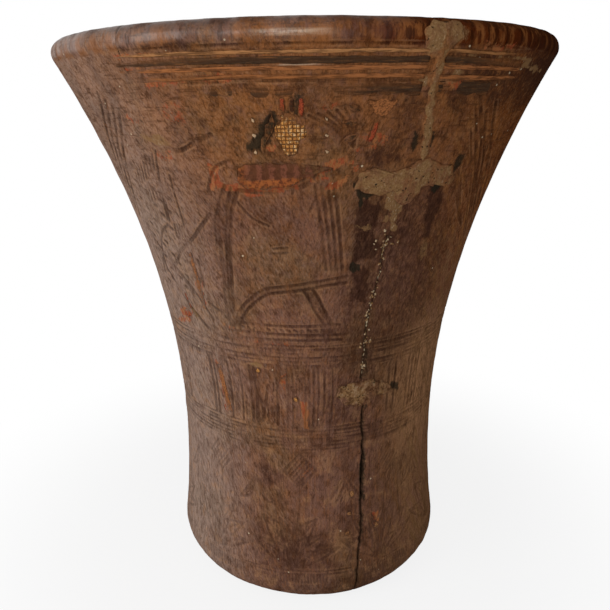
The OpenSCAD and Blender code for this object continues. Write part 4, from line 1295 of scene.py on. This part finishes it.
def turn_borders(patch):
    """The turned border lines, which sway and fade, and the grooves of the narrow rings. By the rim and the
    foot they are worn away at the sides of each face."""
    section, worn = patch.section, face_wear(patch.angles)
    for z, width in GROOVES:
        at_rim, at_foot = z > 170, z < 20
        sway = 0.25 * field(int(z * 10), patch.angles / 24.0, np.zeros(1), 15)
        away = np.abs(patch.arc[:, None] - section.arc(z) - sway[None, :])
        gone = 0.5 * np.clip(field(int(z * 7), patch.angles / 6.0, np.zeros(1), 60) - 0.05, 0.0, 1.0)
        depth = width * (0.18 if at_foot else 0.36)
        if at_rim or at_foot:
            gone = gone + 0.7 * worn
        if at_rim:
            depth = depth * (1.0 - worn)
        patch.line = np.minimum(patch.line, away - width / 2 + gone)
        patch.relief = np.minimum(patch.relief, groove(away, width, depth))
    depth = 0.3 * (1.0 - 0.9 * worn)
    for _, level, tall, _ in RINGS.values():
        if tall < WIDE_RING:
            away = np.abs(patch.arc - section.arc(level))[:, None] - tall / 2
            patch.relief = np.minimum(patch.relief, -depth * (1.0 - ramp(away, -0.4, 0.5)))


def sink_beds(patch, depth):
    """Beds for the inlays of both faces and for the broad repairs."""
    for _, pieces in INLAYS.values():
        for piece in pieces:
            for side in (0.0, HALF_TURN):
                patch.sink(unrolled(patch.section, *piece) + [side, 0], depth)
    for piece in REPAIRS.values():
        patch.sink(unrolled(patch.section, *piece), depth)


def open_split(patch, deep):
    """The split where it is open, widest in the lower wall, the fine crack in the lip, and the stain along
    both."""
    draw = np.random.default_rng(12)
    run = curve(CRACK_RUN, 8)
    run[1:-1, 0] += draw.uniform(-0.35, 0.35, len(run) - 2)
    z = run[:, 1]
    for part, share in ((z < 78, 1.0), ((z >= 77) & (z < 136), 0.5), (z > 183, 0.5)):
        for start, end in zip(run[part][:-1], run[part][1:]):
            gape = 0.3 * share + 0.5 * np.exp(-(((start[1] - 51.0) / 9.0) ** 2))
            patch.cut([start, end], gape * draw.uniform(0.75, 1.25), deep * share, "crack")
    patch.cut(curve(LIP_CRACK_RUN), 0.3, 0.35, "crack")
    halo = 0.5 - 0.25 * ramp(patch.levels, 76.0, 100.0)[:, None]
    patch.stain = np.maximum(patch.stain, halo * (1.0 - ramp(patch.crack, 0.2, 1.5)))


def carve(patch, sizes):
    """Everything that the work and time left on a stretch of the wall."""
    cut_lines(patch, sizes.line_depth * MM)
    turn_borders(patch)
    sink_beds(patch, sizes.bed_depth * MM)
    open_split(patch, sizes.crack_depth * MM)
    for mark, patches in (("stain", STAINS), ("film", FILMS), ("paint", PAINT), ("smear", SMEARS)):
        for outline, amount, soft in patches:
            patch.tint(mark, outline, amount, soft)
    angles, levels = patch.angles[None, :], patch.levels[:, None]
    patch.relief += 0.07 * field(31, angles / 4.0, levels / 5.0, 90)
    patch.relief += 0.05 * field(32, angles / 1.5, levels / 6.0, 240)


def steps(start, end, pitch):
    """Levels from start to end, about a pitch apart."""
    return np.linspace(start, end, max(2, int(round(abs(end - start) / pitch)) + 1))


def ring_angles(count=COLUMNS):
    return FIRST_ANGLE + FULL_TURN * np.arange(count) / count


def carved_wall(section, sizes, levels, angles, depth):
    """Points and fields of a stretch of the wall: rows of its carved outside, then the rows of a hidden
    side sunk below it."""
    patch = Patch(section, levels, angles)
    carve(patch, sizes)
    back = np.linspace(levels[-1], levels[0], HIDDEN_ROWS)
    hidden = section.place(patch.angles[None, :], back[:, None], -depth)
    fields = {}
    for name, values in patch.fields().items():
        plain = np.full((HIDDEN_ROWS, len(angles)), FAR if name in DISTANCES else 0.0)
        fields[name] = np.concatenate([values, plain])
    return np.concatenate([patch.points(), hidden]), fields


def wall_ring(section, sizes, levels, depth):
    """A ring of the wall between two levels, closed by its hidden side."""
    points, fields = carved_wall(section, sizes, levels, ring_angles(), depth)
    flat = range(len(levels) - 1, len(levels) + HIDDEN_ROWS)
    return Shell(points, None, fields, flat)


def wall_half(section, sizes, levels, start, depth):
    """Half a ring of the wall: its section's loop carried round from a start angle, closed at both ends."""
    angles = start + HALF_TURN * np.arange(COLUMNS // 2 + 1) / (COLUMNS // 2)
    points, fields = carved_wall(section, sizes, levels, angles, depth)
    fields = {name: values.T for name, values in fields.items()}
    middle = (levels[0] + levels[-1]) / 2
    ends = [section.place(a, middle, -depth / 2) for a in (angles[0], angles[-1])]
    hidden = range(len(levels) - 1, len(levels) + HIDDEN_ROWS)
    return Shell(points.transpose(1, 0, 2), ends, fields, (0, len(angles)), flat_columns=hidden)


def lump(section, piece, side, crown, sunk, seed, rough, ragged, centre=(0.0, 0.0)):
    """A low cushion over an outline: rings that shrink to its middle, crowned by 1 less the ring's share to
    the fourth power, roughened by random fields, with a ragged rim and a skirt down into its bed."""
    outline, wide, tall, angle, across, z, turn = piece
    size = np.array([wide, tall])
    corners = np.vstack([outline, outline[:1]])
    legs = np.hypot(*((corners[1:] - corners[:-1]) * size).T)
    walked = np.concatenate([[0.0], np.cumsum(legs)])
    count = int(np.clip(walked[-1] / 0.4, 28, 200))
    marks = np.linspace(0, walked[-1], count, endpoint=False)
    rim = np.stack([np.interp(marks, walked, corners[:, k]) for k in (0, 1)], axis=-1)
    lap = max(6, int(walked[-1] / 1.6))
    sway = field(seed, marks[:, None] / walked[-1] * lap, np.array([[0.3, 7.7]]), lap)
    rim = rim + ragged * sway / size
    inner = np.linspace(0.06, 0.9, max(4, int(min(wide, tall) / 0.7)))
    shares = np.concatenate([inner, [0.96, 1.0, 1.0, 0.5]])
    grid = np.array(centre) + shares[:, None, None] * (rim[None] - np.array(centre))
    spots = unrolled(section, grid.reshape(-1, 2), wide, tall, angle + side, across, z, turn)
    spots = spots.reshape(*grid.shape)
    mm = grid * size
    bumps = rough * (field(seed + 1, mm[..., 0] / 1.9 + 20, mm[..., 1] / 1.9 + 20)
                     + 0.6 * field(seed + 2, mm[..., 0] / 0.8 + 20, mm[..., 1] / 0.8 + 20))
    share = shares[:, None] * np.ones(count)
    out = crown * (1.0 - share**4) + bumps
    out[-2:] = -sunk
    points = section.place(spots[..., 0], spots[..., 1], out)
    middle = unrolled(section, [centre], wide, tall, angle + side, across, z, turn)[0]
    tops = [section.place(*middle, crown), section.place(*middle, -sunk)]
    return Shell(points, tops, {"wear": share**3, "across": across + mm[..., 0], "along": mm[..., 1]})


def ribbon(section, run, half_width, crown, seed, worn=0.0):
    """A low ribbon along a run: a flattened oval section carried along it, tapering at both ends. worn is
    added to its wear."""
    sunk, rough, around = 0.8, 0.15, 14
    path = curve(run, 10)
    k = section.at(np.minimum(path[:, 1], section.wall_top))[0] * pi / 180
    ahead = np.gradient(path, axis=0) * np.stack([k, np.ones_like(k)], axis=-1)
    ahead /= np.hypot(*ahead.T)[:, None]
    share = np.linspace(0, 1, len(path))
    ragged = 1.0 + 0.35 * field(seed, share[:, None] * 40, np.array([[0.2, 9.4]]))
    taper = np.clip(np.minimum(share, 1 - share) * 18, 0.15, 1.0)
    loop = np.linspace(0, 2 * pi, around, endpoint=False)
    reach = np.where(np.cos(loop) > 0, ragged[:, :1], ragged[:, 1:])
    side = half_width * taper[:, None] * np.cos(loop) * reach
    lift = np.where(np.sin(loop) > 0, crown, sunk) * np.sin(loop) * np.ones_like(side)
    lumps = field(seed + 1, share[:, None] * 47, side * 1.2 + 30)
    lumps = lumps + field(seed + 2, share[:, None] * 17, side * 0.8 + 30)
    lift += 0.7 * rough * lumps * (np.sin(loop) > 0.1)
    angle = path[:, :1] - side * ahead[:, 1:] / k[:, None]
    level = path[:, 1:] + side * ahead[:, :1]
    points = section.place(angle, level, lift)
    ends = [section.place(*path[0], 0.0), section.place(*path[-1], 0.0)]
    fields = {"wear": worn + np.abs(np.cos(loop)) * np.ones_like(side), "across": side, "along": level}
    return Shell(points, ends, fields)


def resin_ring(section, level, tall):
    """A band let in round the rim from one side of the split to the other: a flat oval section on a circle,
    swaying a little in height. wear grows to the sides of each face and to the band's edges."""
    angle = np.linspace(RING_SPLIT + RING_GAP, RING_SPLIT + FULL_TURN - RING_GAP, 720)[:, None]
    loop = np.linspace(0, 2 * pi, 12, endpoint=False)[None, :]
    seed = int(level * 10)
    sway = 0.22 * field(seed, angle / 12.0, np.zeros((1, 1)), 30)
    body = tall / 2 * (1.0 + 0.14 * field(seed + 1, angle / 2.0, np.sign(np.cos(loop)) + 3.0, 180))
    at = level + sway + body * np.cos(loop)
    sunk = (0.02 if tall < WIDE_RING else 0.06) + 0.3 * face_wear(angle)
    lift = np.where(np.sin(loop) > 0, 0.1, 0.5) * np.sin(loop) - sunk
    points = section.place(angle, at, lift * np.ones_like(at))
    ends = [section.place(a, level, -0.1) for a in (angle[0, 0], angle[-1, 0])]
    wear = face_wear(angle) + 0.4 * np.abs(np.cos(loop)) ** 3
    return Shell(points, ends, {"wear": wear})


def crumbs(section):
    """Crumbs of putty caught along the middle of the split: small rough cushions, in clusters given as
    (height, count, spread across)."""
    draw = np.random.default_rng(23)
    run = curve(CRACK_RUN, 8)
    clusters = (
        (133.4, 18, 1.5), (125.0, 8, 0.5), (117.0, 14, 0.6),
        (109.0, 8, 0.6), (101.5, 14, 0.9), (91.0, 6, 0.4),
    )
    spots = []
    for middle, count, spread in clusters:
        spots += [(draw.normal(middle, 1.8), draw.normal(0.0, spread)) for _ in range(count)]
    grains = []
    for z, across in spots:
        a = np.interp(-z, -run[:, 1], run[:, 0])
        size = draw.uniform(0.25, 0.8)
        piece = (PELT, size, size * draw.uniform(0.8, 2.2), a, across, z, draw.normal(0, 30))
        grains.append(lump(section, piece, 0.0, 0.3, 0.5, int(draw.integers(1000)), 0.14, 0.22))
    return grains


def weave(bench, shade):
    """Gold squares with dark lines between, about 1 mm apart, woven a little unevenly."""
    dark = None
    for name in ("across", "along"):
        sway = bench.noise(1.8, detail=3.0, seed=31.0) * 4.0
        wave = (bench.mark(name) * (2 * pi / 0.96) + sway).math("COSINE")
        edge = wave.ramp(0.3, 0.85)
        dark = edge if dark is None else dark.largest(edge)
    thread = bench.noise(0.9, detail=2.0, seed=35.0)
    shade = bench.blend(thread.ramp(0.5, 0.64) * 0.75, shade, srgb(156, 94, 46))
    shade = bench.blend(thread.ramp(0.46, 0.34) * 0.8, shade, srgb(226, 190, 144))
    return bench.blend(dark * 0.85, shade, srgb(70, 42, 26))


def swags(bench, shade):
    """Orange edge below, a dark band with dull red upright stripes above."""
    up = bench.mark("along") + bench.mark("across") * -0.06
    torn = bench.noise(1.4, detail=4.0, rough=0.65, seed=37.0)
    stripes = (bench.mark("across") * (2 * pi / 3.2) + torn * 5.0).math("SINE").ramp(-0.3, 0.6)
    right = (bench.mark("across") + torn * 3.0).ramp(-11.0, -8.0, 0.25, 1.0)
    band = (up + torn * 2.4).ramp(0.1, 0.9) * right
    shade = bench.blend(1 - torn.ramp(0.4, 0.6) * 0.7, shade, srgb(152, 88, 46))
    cloth = bench.blend(stripes * 0.7, srgb(82, 50, 36), srgb(122, 74, 58))
    shade = bench.blend(band * 0.92, shade, cloth)
    return bench.blend(torn.ramp(0.48, 0.62) * 0.7, shade, srgb(74, 44, 30))


def crest(bench, shade):
    """Red plumes at the sides, a dark one between."""
    middle = (bench.mark("across") - 0.6).math("ABSOLUTE")
    return bench.blend(middle.ramp(1.1, 0.8) * 0.9, shade, srgb(40, 34, 26))


def pearls(bench, shade):
    """Pale, bright dots."""
    return bench.blend(0.7, shade, srgb(186, 164, 136))


# How an inlay's finish departs from its slot's plain one: use, wear and drawn pattern
DRAWN = {
    "tunic": ("tunic", 0.26, weave),
    "garland": ("garland", 0.25, swags),
    "flower_stem": ("stem", 0.36),
    "bell_flower": ("flower", 0.14),
    "plumes": ("plume", 0.34, crest),
    "seed_dots": ("pearl", 0.2, pearls),
    "flower_leaves": ("leaf", 0.5),
    "cloak": ("cloak", 0.46),
    "register_slash": ("slash", 0.26),
}


def settings():
    scene = bpy.context.scene
    return scene.kero_sizes, scene.kero_colours, scene.kero_studio


def finish_named(name, make):
    """A finish that several pieces share: made once."""
    return bpy.data.materials.get(name) or make()


def carved_wood():
    colours = settings()[1]
    return finish_named("carved_wood", lambda: wood_finish(colours, True))


def resin(slot, use="inlay", wear=0.38, pattern=None, along=1.0):
    """The finish of a resin for one use: its slot's colour, worn by so much."""
    colours = settings()[1]
    name, tint = f"{slot}_{use}", getattr(colours, slot)
    return finish_named(name, lambda: resin_finish(name, tint, colours, wear, pattern, along))


class KERO_OT_rim(Operator):
    """Builds the lip and the plain band under it"""

    bl_idname = "kero.rim"
    bl_label = "Rim"

    def execute(self, context):
        sizes = settings()[0]
        section = Section(sizes)
        levels = steps(RIM_START, section.lip_end + RIM_REACH, 0.6)
        shell = wall_ring(section, sizes, levels, RIM_DEPTH)
        make_piece("rim_wood", [shell], carved_wood(), "hardwood", "cup_body")
        return {"FINISHED"}


class KERO_OT_frieze(Operator):
    """Builds the tall carved frieze as a front and a back half"""

    bl_idname = "kero.frieze"
    bl_label = "Frieze"

    def execute(self, context):
        sizes = settings()[0]
        section = Section(sizes)
        levels = steps(FRIEZE_START, RIM_START, 0.52)
        halves = {"frieze_front_wood": FIRST_ANGLE, "frieze_back_wood": FIRST_ANGLE + HALF_TURN}
        for name, start in halves.items():
            shell = wall_half(section, sizes, levels, start, WALL_DEPTH)
            make_piece(name, [shell], carved_wood(), "hardwood", "cup_body")
        return {"FINISHED"}


class KERO_OT_register(Operator):
    """Builds the middle register and the lower wall"""

    bl_idname = "kero.register"
    bl_label = "Middle register and lower wall"

    def execute(self, context):
        sizes = settings()[0]
        section = Section(sizes)
        heights = {
            "register_wood": (REGISTER_START, FRIEZE_START),
            "lower_wood": (LOWER_START, REGISTER_START),
        }
        for name, (low, high) in heights.items():
            shell = wall_ring(section, sizes, steps(low, high, 0.7), WALL_DEPTH)
            make_piece(name, [shell], carved_wood(), "hardwood", "cup_body")
        return {"FINISHED"}


class KERO_OT_foot(Operator):
    """Builds the rounded foot with its flat base"""

    bl_idname = "kero.foot"
    bl_label = "Foot"

    def execute(self, context):
        sizes = settings()[0]
        section = Section(sizes)
        wall = steps(LOWER_START, section.foot_end, 0.6)
        base = steps(section.foot_end - 2, section.base_end + 1, 3.0)
        patch = Patch(section, np.concatenate([wall, base]), ring_angles())
        carve(patch, sizes)
        patch.relief[patch.levels < section.foot_end + 1.0] = 0.0
        middle = [np.array([0, 0, LOWER_START]) / MM, np.zeros(3)]
        shell = Shell(patch.points(), middle, patch.fields(), (0,))
        make_piece("foot_wood", [shell], carved_wood(), "hardwood", "cup_body")
        return {"FINISHED"}


class KERO_OT_hollow(Operator):
    """Builds the inside of the cup"""

    bl_idname = "kero.hollow"
    bl_label = "Hollow"

    def execute(self, context):
        sizes, colours, _ = settings()
        section = Section(sizes)
        thick = 1.1
        inside = steps(section.floor_end - 1.0, section.lip_end + RIM_REACH, 1.2)
        behind = steps(section.lip_end + RIM_REACH, section.floor_end - 1.0, 6.0)
        angles = ring_angles(300)
        chatter = 0.12 * field(41, angles[None, :] / 7.5, inside[:, None] / 3.0, 48)
        front = section.place(angles[None, :], inside[:, None], chatter)
        back = section.place(angles[None, :], behind[:, None], -thick)
        middle = [section.place(0.0, section.floor_end), np.array([0, 0, section.floor - thick]) / MM]
        flat = range(len(inside), len(inside) + len(behind) + 1)
        shell = Shell(np.concatenate([front, back]), middle, None, flat, 0.15)
        make_piece("hollow_wood", [shell], wood_finish(colours, False), "hardwood", "cup_body")
        return {"FINISHED"}


class KERO_OT_rim_lines(Operator):
    """Builds the resin lines let in round the rim"""

    bl_idname = "kero.rim_lines"
    bl_label = "Rim lines"

    def execute(self, context):
        section = Section(settings()[0])
        for node, (slot, level, tall, wear) in RINGS.items():
            finish = resin(slot, node, wear, None, 0.1)
            make_piece(f"{node}_band", [resin_ring(section, level, tall)], finish, slot, node)
        return {"FINISHED"}


class KERO_OT_inlays(Operator):
    """Builds the resin inlays on both faces"""

    bl_idname = "kero.inlays"
    bl_label = "Inlays"

    def execute(self, context):
        section = Section(settings()[0])
        for face, side in (("front", 0.0), ("back", HALF_TURN)):
            for order, (name, (slot, pieces)) in enumerate(INLAYS.items()):
                middle = (-0.2, 0.05) if name == "garland" else (0.0, 0.0)
                torn = 0.6 if name in ("garland", "cloak") else 0.3
                shells = []
                for k, piece in enumerate(pieces):
                    seed = 100 + 7 * order + k
                    shells.append(lump(section, piece, side, 0.06, 0.6, seed, 0.07, torn, middle))
                node = f"{face}_{name}"
                make_piece(f"{node}_inlay", shells, resin(slot, *DRAWN.get(name, ())), slot, node)
        return {"FINISHED"}


class KERO_OT_repairs(Operator):
    """Builds the putty repairs along the split"""

    bl_idname = "kero.repairs"
    bl_label = "Repairs"

    def execute(self, context):
        sizes, colours, _ = settings()
        section = Section(sizes)
        proud = sizes.putty_height * MM
        finish = putty_finish(colours)
        for order, (node, piece) in enumerate(REPAIRS.items()):
            shell = lump(section, piece, 0.0, proud, 0.8, 300 + 11 * order, 0.12, 1.0)
            make_piece(f"{node}_putty", [shell], finish, "putty", node)
        strip = ribbon(section, UPPER_STRIP, 1.35, proud, 400)
        make_piece("upper_strip_repair_putty", [strip], finish, "putty", "upper_strip_repair")
        strip = ribbon(section, MIDDLE_STRIP, 0.42, 0.1, 411, 0.8)
        shells, finish = [strip, *crumbs(section)], crumb_finish(colours)
        make_piece("middle_strip_repair_putty", shells, finish, "putty", "middle_strip_repair")
        return {"FINISHED"}


class KERO_OT_stage(Operator):
    """Sets up the floor, the lamps, the world and the camera"""

    bl_idname = "kero.stage"
    bl_label = "Stage"

    def floor(self):
        mesh = bpy.data.meshes.new("floor")
        reach = 3.0
        corners = [(-reach, -reach, 0), (reach, -reach, 0), (reach, reach, 0), (-reach, reach, 0)]
        mesh.from_pydata(corners, [], [(0, 1, 2, 3)])
        floor = bpy.data.objects.new("floor", mesh)
        bpy.context.scene.collection.objects.link(floor)
        b = Bench("pale_floor")
        b.shader.inputs["Base Color"].default_value = (0.82, 0.82, 0.82, 1)
        b.shader.inputs["Roughness"].default_value = 0.9
        away = b.node("ShaderNodeVectorMath", {"operation": "LENGTH"}, {0: b.spot}, "Value")
        glow = b.node("ShaderNodeEmission", inputs={"Color": (1, 1, 1, 1), "Strength": 1.0})
        share = b.seen() * away.ramp(70.0, 190.0, 0.84, 1.0)
        mixed = b.node("ShaderNodeMixShader", inputs={0: share, 1: Wire(b, b.shader.outputs[0]), 2: glow})
        b.join(b.graph.nodes["Material Output"].inputs["Surface"], mixed)
        mesh.materials.append(b.material)

    def world(self, level):
        """White to the camera, mirrors and glass; an even fill for the rest."""
        world = bpy.data.worlds.new("studio")
        bpy.context.scene.world = world
        world.use_nodes = True
        tree = Tree(world.node_tree)
        back = tree.graph.nodes["Background"]
        back.inputs["Color"].default_value = (1, 1, 1, 1)
        tree.join(back.inputs["Strength"], level + tree.seen() * (1.0 - level))

    def lamp(self, name, place, aim, size, power):
        data = bpy.data.lights.new(name, "AREA")
        data.shape, data.size, data.size_y = "RECTANGLE", *size
        data.energy = power
        lamp = bpy.data.objects.new(name, data)
        lamp.location = place
        turn = np.array(place, float) - np.array(aim, float)
        lamp.rotation_euler = Vector(turn).to_track_quat("Z", "Y").to_euler()
        bpy.context.scene.collection.objects.link(lamp)

    def camera(self, studio):
        data = bpy.data.cameras.new("camera")
        data.lens, data.sensor_width = studio.camera_lens, 36.0
        data.shift_x, data.shift_y = 0.0008, -0.0128
        data.clip_start = 0.01
        camera = bpy.data.objects.new("camera", data)
        camera.rotation_mode = "XYZ"
        tilt = Matrix.Rotation(pi / 2 - studio.camera_tilt, 4, "X")
        roll = Matrix.Rotation(studio.camera_roll, 4, "Z")
        camera.rotation_euler = (tilt @ roll).to_euler()
        camera.location = studio.camera_place
        bpy.context.scene.collection.objects.link(camera)
        bpy.context.scene.camera = camera

    def execute(self, context):
        studio = settings()[2]
        self.floor()
        self.world(studio.fill_level)
        self.lamp("key", (-0.2, -0.9, 0.34), (0, 0, 0.11), (0.5, 0.2), studio.key_power)
        self.lamp("side", (-0.75, -0.45, 0.34), (0, 0, 0.11), (0.5, 0.6), studio.side_power)
        self.camera(studio)
        context.scene.view_settings.view_transform = "Standard"
        return {"FINISHED"}


class KERO_PT_cup(Panel):
    """Lists the cup's pieces, sizes and colours"""

    bl_idname = "KERO_PT_cup"
    bl_label = "Kero cup"
    bl_space_type = "VIEW_3D"
    bl_region_type = "UI"
    bl_category = "Kero"

    def draw(self, context):
        for operator in PIECES:
            self.layout.operator(operator.bl_idname)
        for group in settings():
            box = self.layout.box()
            for name in group.__annotations__:
                box.prop(group, name)


GROUPS = {"kero_sizes": KeroSizes, "kero_colours": KeroColours, "kero_studio": KeroStudio}
PIECES = (KERO_OT_rim, KERO_OT_frieze, KERO_OT_register, KERO_OT_foot, KERO_OT_hollow, KERO_OT_rim_lines,
          KERO_OT_inlays, KERO_OT_repairs, KERO_OT_stage)


def register():
    for cls in (*GROUPS.values(), *PIECES, KERO_PT_cup):
        bpy.utils.register_class(cls)
    for name, group in GROUPS.items():
        setattr(bpy.types.Scene, name, PointerProperty(type=group))


def unregister():
    for name in GROUPS:
        delattr(bpy.types.Scene, name)
    for cls in reversed((*GROUPS.values(), *PIECES, KERO_PT_cup)):
        bpy.utils.unregister_class(cls)


def main():
    register()
    for operator in PIECES:
        call = operator.bl_idname.split(".")[1]
        getattr(bpy.ops.kero, call)()


if __name__ == "__main__":
    main()
